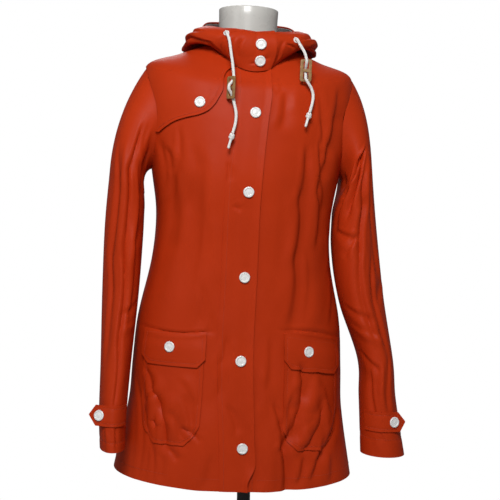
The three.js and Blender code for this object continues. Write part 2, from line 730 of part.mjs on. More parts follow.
function hoodHalves() {
  const seam = THREE.MathUtils.radToDeg(SEAM / 120);
  const columns = [180 - seam, ...HOOD_COLUMNS.slice(1)];
  const grid = (angles, list) => list.map((s) => angles.map((angle) => [degrees(angle), s]));
  const profile = steps(0, 1, 11);
  const right = [...columns, ...LAP_RIGHT].map((angle) => -angle);
  const left = [...columns, ...LAP_LEFT].reverse();
  add("hood_right", wall(hood, grid(right, profile), hoodLap, WALL), "cloth");
  add("hood_left", wall(hood, grid(left, profile), -WALL / 2, WALL), "cloth");
  const lined = [...profile.slice(2, -1), 0.985];
  const lift = -WALL / 2 - LAP - LINING_WALL;
  const inside = columns.map((angle, i) => angle - (i ? 0 : 3 * seam));
  const sides = [["right", inside.map((angle) => -angle)], ["left", inside.slice().reverse()]];
  for (const [name, angles] of sides)
    add("hood_lining_" + name, wall(hood, grid(angles, lined), lift, LINING_WALL), "lining");
}

// The place on the hood at an angle and a height, on the outer side of its profile
function hoodPlace(theta, z, low = 0, high = 1) {
  for (let i = 0; i < 40; i++) {
    const s = (low + high) / 2;
    if (hoodAt(theta, s).z < z) low = s;
    else high = s;
  }
  return [theta, low];
}

// A turned piece that stands at a place, along a direction
function turned(name, profile, sides, look, at, direction) {
  const geometry = new THREE.LatheGeometry(profile.map(([r, h]) => new THREE.Vector2(r, h)), sides);
  geometry.rotateX(Math.PI / 2);
  const mesh = add(name, geometry, look);
  mesh.position.copy(at);
  mesh.quaternion.setFromUnitVectors(vec(0, 0, 1), direction);
}

// A snap cap: a disc with a plain raised ring
function snap(name, { at, normal }, lift) {
  turned(name, SNAP_PROFILE, 12, "snap", at.clone().addScaledVector(normal, lift + LAP), normal);
}

function onFront(x, z, lift) {
  const [theta, level] = frontPlace(x, z);
  return { at: out(body, theta, level, lift), normal: normalOf(body, theta, level) };
}

function snaps() {
  const layer = WALL + LAP;
  FRONT_SNAPS.forEach((z, i) => snap("front_snap_" + (i + 1), onFront(snapLineAt(z), z, layer), WALL));
  snap(STORM_SNAP.name, onFront(STORM_SNAP.x, STORM_SNAP.z, layer), WALL);
  for (const { name, x, z } of POCKET_SNAPS) {
    const [theta, level] = frontPlace(x, z);
    snap(name, onFront(x, z, flapLift(theta, level)), WALL);
  }
  for (const { name, x, z } of COLLAR_SNAPS) {
    const [theta, s] = hoodPlace(Math.asin(x / COLLAR_RADIUS), z);
    const normal = normalOf(hood, theta, s);
    snap(name, { at: hoodAt(theta, s), normal }, hoodLap(theta) + WALL);
  }
}

// Eyelets, cords, toggles and knots
function eyeletBase({ angle, z }) {
  const [theta, s] = hoodPlace(degrees(angle), z);
  const normal = normalOf(hood, theta, s);
  const lap = angle < 0 ? hoodLap(theta) + WALL / 2 : 0;
  return { at: hoodAt(theta, s).addScaledVector(normal, WALL / 2 + EYELET_GAP + lap), normal };
}

function eyelets() {
  for (const eyelet of EYELETS) {
    const { at, normal } = eyeletBase(eyelet);
    turned(eyelet.name, EYELET_PROFILE, 12, "snap", at, normal);
  }
}

// The cord weaves through the toggle's two slots, over its bar or (over is -1) under it. A
// toggle is turned about the vertical.
function togglePoints(toggle) {
  const centre = vec(toggle.x, toggle.y, toggle.z);
  const turn = degrees(toggle.turn);
  const weave = [
    { up: 15, outwards: -4.4 },
    { up: 8.5, outwards: 0 },
    { up: 3, outwards: 4.4 },
    { up: -3, outwards: 4.4 },
    { up: -8.5, outwards: 0 },
    { up: -15, outwards: -4.4 },
  ];
  return weave.map(({ up, outwards }) => {
    const away = outwards * toggle.over;
    return centre.clone().add(vec(away * Math.sin(turn), -away * Math.cos(turn), up));
  });
}

function cordCurve(route, eyelet, toggle) {
  const { at, normal } = eyeletBase(eyelet);
  const first = at.clone().addScaledVector(normal, 0.5);
  const second = at.clone().addScaledVector(normal, 3.6);
  const points = route.map(({ x, y, z }) => vec(x, y, z));
  const above = points.filter((p) => p.z > toggle.z);
  const below = points.filter((p) => p.z < toggle.z);
  const whole = [first, second, ...above, ...togglePoints(toggle), ...below];
  return new THREE.CatmullRomCurve3(whole, false, "centripetal");
}

function cords() {
  const sides = [
    ["right", CORD_ROUTE_RIGHT, EYELETS[0], TOGGLES[0]],
    ["left", CORD_ROUTE_LEFT, EYELETS[1], TOGGLES[1]],
  ];
  for (const [name, route, eyelet, toggle] of sides) {
    const curve = cordCurve(route, eyelet, toggle);
    const section = new THREE.Shape(
      steps(0, 2 * Math.PI, 8).slice(0, -1).map((turn) =>
        new THREE.Vector2((CORD / 2) * Math.cos(turn), (CORD / 2) * Math.sin(turn))),
    );
    const count = Math.round(curve.getLength() / CORD_STEP);
    add("cord_" + name, new THREE.ExtrudeGeometry(section, { steps: count, extrudePath: curve }), "cord");
    knot(name, curve);
    togglePlate(name, toggle);
  }
}

// The knot and the short thin tail below it
function knot(name, curve) {
  const direction = curve.getTangentAt(1);
  const start = curve.getPointAt(1).addScaledVector(direction, KNOT_GAP);
  turned("cord_tip_" + name, KNOT_PROFILE, 10, "cord", start, direction);
}

function togglePlate(name, toggle) {
  const { width, height, thick, slotWidth, slotHeight, bar } = TOGGLE;
  const outline = new THREE.Shape();
  const x = width / 2 - TOGGLE_CORNER;
  const y = height / 2 - TOGGLE_CORNER;
  const turns = [[x, -y, -90], [x, y, 0], [-x, y, 90], [-x, -y, 180]];
  for (const [cx, cy, from] of turns)
    outline.absarc(cx, cy, TOGGLE_CORNER, degrees(from), degrees(from + 90));
  for (const place of [1, -1]) {
    const middle = (place * (bar + slotHeight)) / 2;
    const w = slotWidth / 2;
    const low = middle - slotHeight / 2;
    const high = middle + slotHeight / 2;
    const corners = [[-w, low], [-w, high], [w, high], [w, low]];
    outline.holes.push(new THREE.Path(corners.map(([cx, cy]) => new THREE.Vector2(cx, cy))));
  }
  const options = { depth: thick, bevelEnabled: false, curveSegments: 2 };
  const geometry = new THREE.ExtrudeGeometry(outline, options);
  geometry.translate(0, 0, -thick / 2);
  geometry.rotateX(Math.PI / 2);
  const mesh = add("toggle_" + name, geometry, "toggle");
  mesh.position.set(toggle.x, toggle.y, toggle.z);
  mesh.rotation.z = degrees(toggle.turn);
}

// Dress form: the body's rings a little smaller, with a bore for the pole in its underside
function form() {
  const thetas = steps(0, 2 * Math.PI, 24).slice(0, -1);
  const gapAt = (theta, level) => {
    const side = Math.abs(Math.sin(theta));
    const slim = FORM_SLIM * (1 - smooth(level, 860, 1120));
    const armhole = smooth(level, UNDERARM - 60, 1250) * (1 - smooth(level, 1340, SHOULDER));
    const seam = smooth(side, 0.975, 0.999) * smooth(level, SHOULDER - 20, SHOULDER);
    return lerp(FORM_GAP + slim + FORM_ARMHOLE * armhole * side ** 4, FORM_TOUCH, seam);
  };
  const bodyRing = (level) => thetas.map((theta) => out(smoothBody, theta, level, -gapAt(theta, level)));
  const neckBack = 4;
  const round = (radius, z, drop, shift = NECK_SHIFT) =>
    thetas.map((theta) => {
      const fall = (drop * (1 + Math.cos(theta))) / 2;
      return vec(shift + radius * Math.sin(theta), neckBack - radius * Math.cos(theta), z - fall);
    });
  const boreRadius = POLE_RADIUS + 2 * SEAM;
  const bore = (z) => {
    const shift = (LEAN_HEIGHT - z) * Math.tan(LEAN);
    return thetas.map((theta) =>
      vec(shift + boreRadius * Math.sin(theta), -boreRadius * Math.cos(theta), z));
  };
  const levels = [FORM_BOTTOM, 860, 940, 1030, 1110, UNDERARM, 1230, 1275, 1325, ...SHOULDER_LEVELS];
  const rings = [
    bore(POLE_TOP + 1),
    bore(FORM_BOTTOM),
    ...levels.map(bodyRing),
    round(NECK_RADIUS + 2, 1428, 34, NECK_SHIFT / 2),
    round(NECK_RADIUS - 1, 1446, 14),
    round(NECK_RADIUS, FORM_TOP - 2, 0),
    round(NECK_RADIUS - 2, FORM_TOP, 0),
  ];
  add("form_torso", loft(rings), "form");
}

// The body without its folds
const smoothBody = {
  ...body,
  at: (theta, level) => {
    const point = bodyAt(theta, level);
    const front = Math.cos(theta) > 0;
    const fold = foldDepth(front ? "front" : "back", point.x, point.z) * Math.abs(Math.cos(theta));
    return point.sub(vec(fold * Math.sin(theta), -fold * Math.cos(theta), 0));
  },
};

function stand() {
  const pole = new THREE.CylinderGeometry(POLE_RADIUS, POLE_RADIUS, POLE_TOP - BASE_THICK - SEAM, 24);
  pole.rotateX(Math.PI / 2);
  add("stand_pole", pole, "stand", group).position.z = (POLE_TOP + BASE_THICK + SEAM) / 2;
  const profile = [
    [0, 0], [BASE_RADIUS, 0], [BASE_RADIUS, BASE_THICK - BASE_RIM],
    [BASE_RADIUS - BASE_RIM, BASE_THICK], [0, BASE_THICK],
  ];
  const base = new THREE.LatheGeometry(profile.map(([r, h]) => new THREE.Vector2(r, h)), 40);
  base.rotateX(Math.PI / 2);
  add("stand_base", base, "stand", group);
}

frontRight();
frontLeft();
back();
placket();
stormFlap();
pockets();
sleeves();
cuffTabs();
hoodHalves();
snaps();
eyelets();
cords();
form();
stand();

export default group;
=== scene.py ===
# The fine look of a hooded raincoat on a dress form. Tables are in millimetres in the coat's
# own upright frame; to_world leans the coat and turns points to metres.
import math

import bmesh
import bpy
import numpy as np
from mathutils import Matrix, Vector


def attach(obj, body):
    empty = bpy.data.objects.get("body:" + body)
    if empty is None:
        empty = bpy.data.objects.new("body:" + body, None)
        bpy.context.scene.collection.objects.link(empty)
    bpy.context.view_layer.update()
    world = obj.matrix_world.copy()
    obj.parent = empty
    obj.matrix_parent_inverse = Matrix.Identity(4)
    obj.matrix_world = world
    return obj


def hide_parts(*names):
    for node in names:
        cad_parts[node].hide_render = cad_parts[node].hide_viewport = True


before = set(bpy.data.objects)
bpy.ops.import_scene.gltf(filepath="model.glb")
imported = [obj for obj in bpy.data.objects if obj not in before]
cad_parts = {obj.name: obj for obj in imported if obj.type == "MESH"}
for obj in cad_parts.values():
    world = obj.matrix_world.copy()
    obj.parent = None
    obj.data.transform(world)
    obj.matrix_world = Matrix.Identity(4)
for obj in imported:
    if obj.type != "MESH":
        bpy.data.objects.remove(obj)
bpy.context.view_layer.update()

MM = 0.001
SIDES = {"right": -1, "left": 1}
LEAN = math.radians(1.9)
LEAN_HEIGHT = 1290

# Cloth and the gaps between pieces
WALL = 1.5
SEAM = 0.3
LAP = 0.6

# Heights on the coat
HEM = 649
UNDERARM = 1185
BODY_RADIUS = 150
SHOULDER = 1375
NECK = 1495
NECK_SEAM = 1490
ARMHOLE_FRONT = 58
ARMHOLE_BACK = 62


def rows_of(columns, *values):
    names = columns.split()
    return [dict(zip(names, row)) for row in values]


# Rings of the coat's body, as in the solids
BODY_RINGS = rows_of(
    "level width front back side fore aft square",
    (HEM, 212, 138, 132, 653, 643, 648, 2.3),
    (774, 190, 129, 126, 774, 774, 774, 2.3), (844, 186, 124, 121, 844, 844, 844, 2.3),
    (922, 180, 119, 115, 922, 922, 922, 2.3), (1030, 159, 116, 104, 1030, 1030, 1030, 2.3),
    (1110, 155, 119, 105, 1110, 1108, 1110, 2.3),
    (UNDERARM, 166, 122, 110, 1185, 1178, 1186, 2.3),
    (1275, 179, 115, 111, 1275, 1250, 1280, 2.25),
    (SHOULDER, 182, 102, 97, 1362, 1320, 1366, 2.15),
    (1435, 124, 91, 81, 1387, 1341, 1399, 2.05),
    (NECK, 65, 78, 62, 1411, 1357, 1425, 2),
)
SNAP_LINE = rows_of(
    "z x", (HEM, 4), (716, 1), (863, -7), (1005, -6), (1150, -6), (1284, 1), (1357, 7)
)
PLACKET_RIGHT = -37
PLACKET_LEFT = 21
CURL_TOP = 694
FRONT_SNAPS = [1284, 1150, 1005, 863, 716]
COLLAR_RADIUS = 87
COLLAR_SNAPS = [("collar_snap_1", 8, 1403), ("collar_snap_2", 8, 1376)]

# Large folds that the solids have too
BODY_FOLDS = rows_of(
    "face x0 z0 x1 z1 width depth",
    ("front", 98, 835, 82, HEM, 22, -5),
    ("front", 58, 800, 50, HEM, 24, 4),
    ("front", -60, 800, -72, HEM, 26, 4),
    ("front", 84, 1060, 80, 930, 20, -3),
    ("front", -120, 1190, -128, 1060, 20, -3),
    ("back", -70, 900, -84, HEM, 30, 7),
    ("back", 5, 860, 8, HEM, 26, -6),
    ("back", 86, 880, 98, HEM, 30, 7),
)

CREASE_COLUMNS = "x0 z0 x1 z1 width depth"

# Creases, listed one by one: a soft trough or ridge (depth over 0) from one place to another
FRONT_CREASES = rows_of(
    CREASE_COLUMNS,
    # below the storm flap and the armhole on the wearer's right
    (-156, 1230, -142, 1140, 6, -4), (-144, 1218, -135, 1180, 5, -3.5),
    (-135, 1184, -143, 1120, 5, -3.5), (-126, 1250, -134, 1150, 5, -3), (-134, 1160, -138, 1040, 8, -3),
    (-98, 1215, -101, 1120, 11, -3), (-101, 1150, -108, 980, 13, -5), (-76, 1190, -84, 960, 18, 2.5),
    (-31, 1124, -18, 1118, 4, -1.8), (-44, 1196, -38, 1168, 6, -1.2), (-70, 1090, -76, 1010, 7, -1.2),
    # under the collar and round the armhole on the wearer's left
    (41, 1346, 44, 1322, 4, -3), (27, 1333, 41, 1319, 4, -1.8), (51, 1326, 48, 1262, 8, -3),
    (70, 1340, 66, 1290, 10, 2), (106, 1340, 119, 1270, 5, -2), (119, 1278, 121, 1236, 5, -2.4),
    (150, 1334, 146, 1276, 9, -5), (146, 1284, 134, 1222, 9, -7), (133, 1236, 123, 1180, 6, -5),
    (122, 1186, 131, 1120, 6, -4), (115, 1236, 115, 1150, 5, -3.5), (116, 1160, 121, 1060, 6, -3.5),
    (102, 1220, 103, 1060, 9, 2.6), (93, 1224, 86, 1130, 9, -5), (87, 1145, 84, 1030, 10, -6.5),
    (84, 1045, 84, 925, 10, -6), (66, 1140, 64, 960, 13, 2), (146, 1090, 152, 1010, 6, -3),
    (153, 1030, 156, 930, 6, -3), (104, 1050, 106, 935, 7, -2),
    # the skirt on the wearer's right
    (-163, 838, -150, 798, 5, -4), (-151, 804, -134, 768, 5, -5), (-136, 778, -129, 706, 5, -5),
    (-149, 754, -142, 741, 4, -3.5), (-101, 745, -78, 733, 4, -3), (-80, 735, -71, 724, 4, -2),
    (-121, 708, -108, 690, 5, -3), (-33, 898, -40, 855, 7, -2.4), (-40, 862, -42, 800, 7, -2),
    (-26, 785, -8, 742, 7, -2.6), (-60, 940, -62, 905, 7, -1.6), (-77, 985, -80, 920, 8, -1.6),
    (-178, 815, -169, 660, 5, -3), (-168, 812, -158, 660, 5, -3), (-150, 712, -147, 655, 5, -2.6),
    (-136, 700, -134, 655, 5, -2.4), (-52, 700, -60, 650, 9, -2),
    # above the pocket flaps
    (-64, 911, -170, 911, 2.8, -2.6), (64, 916, 170, 900, 2.8, -2.6),
    # the skirt on the wearer's left
    (53, 790, 65, 752, 5, -3.5), (65, 760, 71, 712, 6, -5), (70, 722, 82, 640, 7, -7.5),
    (97, 856, 102, 800, 8, -6), (102, 812, 96, 764, 8, -7), (98, 776, 80, 730, 8, -7.5),
    (84, 742, 72, 712, 7, -6), (137, 775, 109, 708, 6, -4.5), (124, 836, 116, 780, 8, 2.6),
    (170, 776, 155, 730, 6, -5), (157, 736, 139, 692, 6, -5), (144, 725, 126, 660, 6, -4.5),
    (111, 698, 102, 652, 6, -4), (160, 700, 166, 655, 7, -2.4), (43, 900, 41, 815, 7, -2),
    (30, 850, 33, 770, 9, 1.8), (22, 720, 30, 655, 9, -2),
)
BACK_CREASES = rows_of(
    CREASE_COLUMNS,
    (-60, 1300, -75, 1130, 13, -2), (62, 1290, 78, 1120, 13, -2), (-96, 1240, -120, 1100, 10, 2),
    (98, 1240, 118, 1090, 10, 2), (-52, 1010, -66, 800, 12, -3), (48, 1030, 58, 820, 12, -3),
    (20, 980, 28, 700, 14, 2.5), (-24, 960, -34, 690, 14, 2.5), (112, 900, 132, 660, 12, -3.5),
    (-112, 900, -130, 660, 12, -3.5), (-120, 1060, 110, 1035, 9, -1.3), (-100, 1100, 90, 1085, 9, 1.2),
)

# Storm flap edge, pockets and flaps, as in the solids
STORM_EDGE = rows_of(
    "x z", (-48, 1352), (-54, 1326), (-63, 1303), (-76, 1286), (-93, 1277), (-113, 1272),
    (-130, 1266), (-144, 1257), (-155, 1247),
)
POCKET_ROWS = rows_of(
    "z inner outer",
    (716, 97, 146), (733, 80, 160), (752, 71, 168), (790, 70, 168), (835, 69, 167), (880, 69, 166),
)
FLAP_ROWS = rows_of("z inner outer", (857, 79, 158), (871, 66, 168), (892, 66, 167), (916, 66, 166))
POCKET_BULGE = 5
FLAP_LIFT = 5
POCKET_SNAPS = [("pocket_snap_right", -124, 881), ("pocket_snap_left", 109, 880)]

# Sleeves, as in the solids
SLEEVE_COLUMNS = "v z x y wide deep tilt"
SLEEVE_ROWS = {
    "right": rows_of(
        SLEEVE_COLUMNS,
        (0, 1150, 209, -12, 31, 62, 34), (1, 1070, 212, -18, 33, 60, 14), (2, 960, 214, -30, 31, 57, 2),
        (3, 850, 217, -54, 26, 54, 0), (4, 760, 219, -76, 23, 53, 0), (5, 705, 217, -88, 21, 52, 0),
    ),
    "left": rows_of(
        SLEEVE_COLUMNS,
        (0, 1145, 195, -12, 34, 62, 32), (1, 1068, 200, -20, 40, 58, 14), (2, 972, 214, -32, 40, 55, 2),
        (3, 864, 243, -46, 30, 53, 0), (4, 796, 248, -56, 31, 50, 0), (5, 699, 260, -65, 38, 43, 0),
    ),
}
SLEEVE_CLEAR = 5
# How far the push off the body reaches before it is full
SOFT = 6
SLEEVE_TOP = 1362
SLEEVE_FOLDS = rows_of(
    "angle start stop width depth", (60, -0.3, 2.4, 26, -5), (120, 0.6, 3.6, 24, 3), (300, 0, 3, 30, -5)
)

# Creases on the hidden sides of both sleeves, as below
HIDDEN_CREASES = rows_of(
    CREASE_COLUMNS,
    (260, 1280, 280, 1050, 10, -3.4), (300, 1200, 310, 900, 10, 3), (240, 960, 330, 935, 8, -2.8),
    (345, 1250, 350, 1000, 10, -2.4), (275, 1040, 285, 800, 8, -3),
)

# Sleeve creases, by angle (0 out, 90 front, 180 body) and height
SLEEVE_CREASES = {
    "right": HIDDEN_CREASES + rows_of(
        CREASE_COLUMNS,
        (128, 1330, 132, 1262, 7, -4), (130, 1270, 140, 1190, 7, -5), (100, 1345, 112, 1255, 8, 2.6),
        (84, 1300, 88, 1180, 6, -4), (88, 1195, 90, 1030, 6, -5), (90, 1050, 92, 880, 6, -4.4),
        (92, 890, 94, 780, 6, -3), (112, 1215, 112, 1010, 7, 3.2), (132, 1180, 124, 1060, 6, -4),
        (122, 1080, 118, 900, 6, -3), (66, 1220, 62, 1010, 8, 2.6), (46, 1200, 44, 1020, 7, -3),
        (44, 1030, 50, 860, 7, -3), (150, 1120, 128, 1060, 7, -2.6), (160, 960, 96, 932, 6, -2.6),
        (165, 925, 96, 905, 6, 2), (104, 745, 106, 705, 6, -3.4), (66, 740, 66, 705, 7, 2),
        (235, 900, 320, 890, 8, 2.4),
    ),
    "left": HIDDEN_CREASES + rows_of(
        CREASE_COLUMNS,
        (152, 1322, 146, 1262, 9, -4), (126, 1222, 96, 1252, 7, -7), (98, 1253, 66, 1240, 6, -7),
        (68, 1242, 94, 1200, 6, -6), (92, 1206, 122, 1130, 7, -6), (130, 1230, 142, 1172, 6, -7),
        (140, 1182, 156, 1110, 6, -7), (106, 1222, 134, 1130, 8, 4.5), (72, 1196, 70, 1120, 6, -4.4),
        (70, 1130, 92, 1050, 7, -5), (88, 1070, 92, 900, 6, -4), (52, 1225, 48, 1060, 7, 3.2),
        (40, 1200, 34, 1000, 6, -3), (56, 1040, 60, 880, 6, -3.4), (150, 1110, 100, 1080, 6, -4),
        (104, 1082, 128, 1050, 6, -3.4), (150, 960, 84, 938, 6, -3.2), (155, 925, 70, 902, 6, 2.6),
        (148, 880, 100, 850, 6, -3.4), (128, 850, 118, 770, 6, -4), (88, 860, 88, 780, 7, 2.6),
        (60, 870, 72, 782, 7, -2.6), (104, 742, 86, 716, 5, -2.4), (120, 735, 104, 706, 5, 2),
        (20, 1000, 60, 960, 8, -2),
    ),
}
SLEEVE_MM_PER_DEGREE = 0.86
SLEEVE_RADIUS = 50

TAB_HEIGHT = 34
TAB_POINT = 13
CUFF_TABS = rows_of(
    "name z start leave free snap", ("right", 764, 150, 75, 37, 1.45), ("left", 761, 150, 75, 31, 1.24)
)

# Hood lying down, as in the solids
HOOD_STATIONS = rows_of(
    "angle r1 z1 r2 z2 r3 z3 r4 z4 r5 z5",
    (0, 84, 1374, 87, 1390, 87, 1405, 84, 1416, 79, 1424),
    (38, 89, 1390, 97, 1402, 98, 1414, 92, 1424, 84, 1430),
    (70, 90, 1410, 110, 1408, 116, 1420, 104, 1432, 87, 1438),
    (100, 92, 1416, 118, 1402, 120, 1410, 106, 1425, 88, 1439),
    (135, 96, 1422, 132, 1386, 147, 1396, 122, 1435, 99, 1461),
    (180, 99, 1412, 126, 1318, 153, 1318, 142, 1423, 97, 1469),
)
HOOD_POINTS = 5
HOOD_LIFT = WALL + 1.7
LINING_WALL = 1
HOOD_SEAM = SEAM / 120

# Hood creases, by angle (below 0 on the wearer's right) and share of the profile
HOOD_CREASES = rows_of(
    CREASE_COLUMNS,
    (-38, 0.1, -52, 0.42, 5, -4), (-50, 0.4, -74, 0.56, 6, -4), (-72, 0.55, -96, 0.62, 6, -4),
    (-40, 0.2, -34, 0.6, 4, -2.4), (-27, 0.12, -25, 0.62, 3.5, -2.2), (-19, 0.2, -15, 0.66, 3.5, -2.2),
    (-60, 0.7, -100, 0.86, 5, -3), (-95, 0.2, -120, 0.7, 7, -4), (-140, 0.35, -168, 0.85, 8, -4),
    (-6, 0.12, 14, 0.22, 4, -1.6), (28, 0.12, 30, 0.6, 4, -2), (34, 0.5, 48, 0.32, 4, -2.6),
    (42, 0.1, 62, 0.34, 6, -4), (60, 0.34, 84, 0.46, 6, -4), (80, 0.46, 104, 0.56, 6, -4),
    (52, 0.62, 90, 0.74, 5, -2.6), (98, 0.2, 122, 0.7, 7, -4), (138, 0.35, 166, 0.85, 8, -4),
    (-176, 0.5, -150, 0.55, 7, -3), (176, 0.56, 152, 0.6, 7, -3),
)
HOOD_MM_PER_DEGREE = 2
HOOD_MM_PER_SHARE = 120

# Cords, as in the solids
CORD = 5
EYELET_GAP = 0.2
EYELETS = {"right": (-33, 1419), "left": (44, 1416)}
CORD_ROUTES = {
    "right": [
        (-48, -93, 1410), (-46, -98, 1399), (-44, -103, 1384), (-41, -110, 1364),
        (-37, -118, 1300), (-33, -124, 1280), (-34, -127, 1263), (-38, -130, 1247),
    ],
    "left": [
        (76, -86, 1407), (83, -99, 1391), (90, -103.5, 1341), (97, -101, 1331),
        (100, -102, 1319), (98, -106, 1304), (94, -110, 1290),
    ],
}
TOGGLES = {"right": (-43, -119, 1324), "left": (86, -99, 1362)}
TOGGLE_TURN = {"right": math.radians(-55), "left": 0}
# Heights on a toggle and how far out the cord is there, over its bar on the right, under it on the left
TOGGLE_WEAVE = [(15, -4.4), (8.5, 0), (3, 4.4), (-3, 4.4), (-8.5, 0), (-15, -4.4)]
TOGGLE_OVER = {"right": 1, "left": -1}
TOGGLE = {"width": 20, "height": 38, "thick": 2.4, "slot_width": 9, "slot_height": 12, "bar": 5,
          "corner": 4, "slot_corner": 1.5}
KNOT_GAP = 0.4

# Dress form and stand
FORM_GAP = 4
FORM_ROOM = 4
FORM_TOUCH = 0.6
NECK_RADIUS = 53
NECK_SHIFT = -6
NECK_BACK = 4
FORM_TOP = 1476
FORM_BOTTOM = 800
POLE_RADIUS = 12
POLE_TOP = 980
BASE_RADIUS = 180
BASE_THICK = 12


def to_world(points):
    """Lean points of the coat about its height on the pole, and turn them to metres."""
    points = np.asarray(points, float)
    x, y, z = points[..., 0], points[..., 1], points[..., 2] - LEAN_HEIGHT
    across = x * math.cos(LEAN) + z * math.sin(LEAN)
    up = z * math.cos(LEAN) - x * math.sin(LEAN) + LEAN_HEIGHT
    return np.stack([across, y, up], axis=-1) * MM


def hermite(p0, m0, p1, m1, u):
    u2 = u * u
    u3 = u2 * u
    return (2 * u3 - 3 * u2 + 1) * p0 + (u3 - 2 * u2 + u) * m0 + (3 * u2 - 2 * u3) * p1 + (u3 - u2) * m1


def values_of(rows, name):
    return np.array([row[name] for row in rows], float)


def interpolate(rows, key, at, columns):
    """Columns of a table, smoothly interpolated along another column."""
    places = values_of(rows, key)
    at = np.asarray(at, float)
    i = np.clip(np.searchsorted(places, at) - 1, 0, len(rows) - 2)
    before, after = np.maximum(i - 1, 0), np.minimum(i + 2, len(rows) - 1)
    span = places[i + 1] - places[i]
    past = span / (places[i + 1] - places[before])
    ahead = span / (places[after] - places[i])
    u = np.clip((at - places[i]) / span, 0, 1)
    found = {}
    for column in columns:
        values = values_of(rows, column)
        here = (values[i + 1] - values[before]) * past
        following = (values[after] - values[i]) * ahead
        found[column] = hermite(values[i], here, values[i + 1], following, u)
    return found


def along(rows, key, at, column):
    return interpolate(rows, key, at, (column,))[column]


def power(value, exponent):
    return np.sign(value) * np.abs(value) ** exponent


def smooth(value, low, high):
    u = np.clip((value - low) / (high - low), 0, 1)
    return u * u * (3 - 2 * u)


def lerp(a, b, u):
    return a + (b - a) * u


def distances(line):
    """How far along a line each of its points is."""
    return np.concatenate([[0], np.cumsum(np.linalg.norm(np.diff(line, axis=0), axis=1))])


def unit(vector):
    return vector / np.linalg.norm(vector, axis=-1, keepdims=True)


def bisect(low, high, holds):
    """The last place between two bounds where a test holds."""
    for _ in range(32):
        middle = (low + high) / 2
        held = holds(middle)
        low, high = np.where(held, middle, low), np.where(held, high, middle)
    return low


def waves(x, z, scale, seed):
    """A gentle unevenness between about -1 and 1, from a few crossing waves."""
    spin = np.random.default_rng(seed)
    total = 0
    for _ in range(7):
        turn = spin.uniform(0, 2 * math.pi)
        rate = spin.uniform(0.6, 1.6) / scale
        phase = spin.uniform(0, 2 * math.pi)
        total = total + np.sin((x * math.cos(turn) * 1.7 + z * math.sin(turn) * 0.6) * rate + phase)
    return total / 4


def crease(rows, x, z, scale=(1, 1)):
    """Depth of a list of creases at places of a surface, with millimetres for each unit."""
    depth = np.zeros(np.broadcast(x, z).shape)
    for row in rows:
        x0, z0 = row["x0"], row["z0"]
        ax, az = (row["x1"] - x0) * scale[0], (row["z1"] - z0) * scale[1]
        px, pz = (x - x0) * scale[0], (z - z0) * scale[1]
        long = math.hypot(ax, az)
        u = (px * ax + pz * az) / long**2
        bend = 0.05 * long * np.sin(math.pi * np.clip(u, 0, 1))
        side = (px * az - pz * ax) / long + bend
        ends = smooth(u, -0.18, 0.22) * (1 - smooth(u, 0.78, 1.18))
        width = row["width"] * (0.75 + 0.5 * np.clip(u, 0, 1)) * np.where(side > 0, 0.7, 1.3)
        trough = np.exp(-((side / width) ** 2))
        shoulder = np.exp(-(((np.abs(side) - 2.1 * width) / width) ** 2))
        depth += row["depth"] * ends * (trough - 0.28 * shoulder)
    return depth


def ring_at(level):
    columns = ("width", "front", "back", "side", "fore", "aft", "square")
    return interpolate(BODY_RINGS, "level", level, columns)


def fold_depth(face, x, z):
    depth = 0
    for fold in BODY_FOLDS:
        if fold["face"] != face:
            continue
        ax, az = fold["x1"] - fold["x0"], fold["z1"] - fold["z0"]
        u = np.clip(((x - fold["x0"]) * ax + (z - fold["z0"]) * az) / (ax * ax + az * az), 0, 1)
        distance = np.hypot(x - fold["x0"] - u * ax, z - fold["z0"] - u * az)
        depth = depth + fold["depth"] * smooth(u, 0, 0.35) * np.exp(-((distance / fold["width"]) ** 2))
    return depth


def calm(level):
    """Creases fade out towards the armhole edge rows and the neck."""
    return 1 - 0.85 * smooth(level, 1300, 1420)


def held_out(depth, level):
    """Troughs go no deeper than the room over the form, which ends above the skirt."""
    room = 6 + 8 * smooth(830 - level, 0, 40)
    return np.where(depth < 0, -room * np.tanh(-depth / room), depth)


def bare_at(theta, level):
    """The coat's body with no folds."""
    ring = ring_at(level)
    sin, cos = np.sin(theta), np.cos(theta)
    ahead = cos > 0
    x = ring["width"] * power(sin, 2 / ring["square"])
    y = -np.where(ahead, ring["front"], ring["back"]) * power(cos, 2 / ring["square"])
    z = lerp(ring["side"], np.where(ahead, ring["fore"], ring["aft"]), cos * cos)
    return np.stack([x, y, z], axis=-1)


def body_at(theta, level, fine=True):
    bare = bare_at(theta, level)
    x, z = bare[..., 0], bare[..., 2]
    sin, cos = np.sin(theta), np.cos(theta)
    ahead = cos > 0
    fold = np.where(ahead, fold_depth("front", x, z), fold_depth("back", x, z)) * np.abs(cos)
    if fine:
        laid = np.where(ahead, crease(FRONT_CREASES, x, z), crease(BACK_CREASES, x, z))
        around = BODY_RADIUS * np.asarray(theta)
        uneven = 0.6 * waves(around, z, 44, 3) + 0.15 * waves(around, z, 13, 8)
        fold = held_out(fold + (laid + uneven) * calm(level) * np.abs(cos) ** 0.5, level)
    return bare + np.stack([fold * sin, -fold * cos, 0 * fold], axis=-1)


def both(u, v):
    return np.broadcast_arrays(np.asarray(u, float), np.asarray(v, float))


class Surface:
    """A surface of two coordinates, with the steps for its slopes and the range of the second."""

    def __init__(self, at, du, dv, low, high, sign=1):
        self.at, self.du, self.dv = at, du, dv
        self.low, self.high, self.sign = low, high, sign

    def normal(self, u, v):
        u, v = both(u, v)
        across = self.at(u + self.du, v) - self.at(u - self.du, v)
        above, below = np.minimum(v + self.dv, self.high), np.maximum(v - self.dv, self.low)
        normal = np.cross(across, self.at(u, above) - self.at(u, below)) * self.sign
        return normal / np.maximum(np.linalg.norm(normal, axis=-1, keepdims=True), 1e-9)

    def out(self, u, v, lift):
        return self.at(u, v) + self.normal(u, v) * np.asarray(lift, float)[..., None]


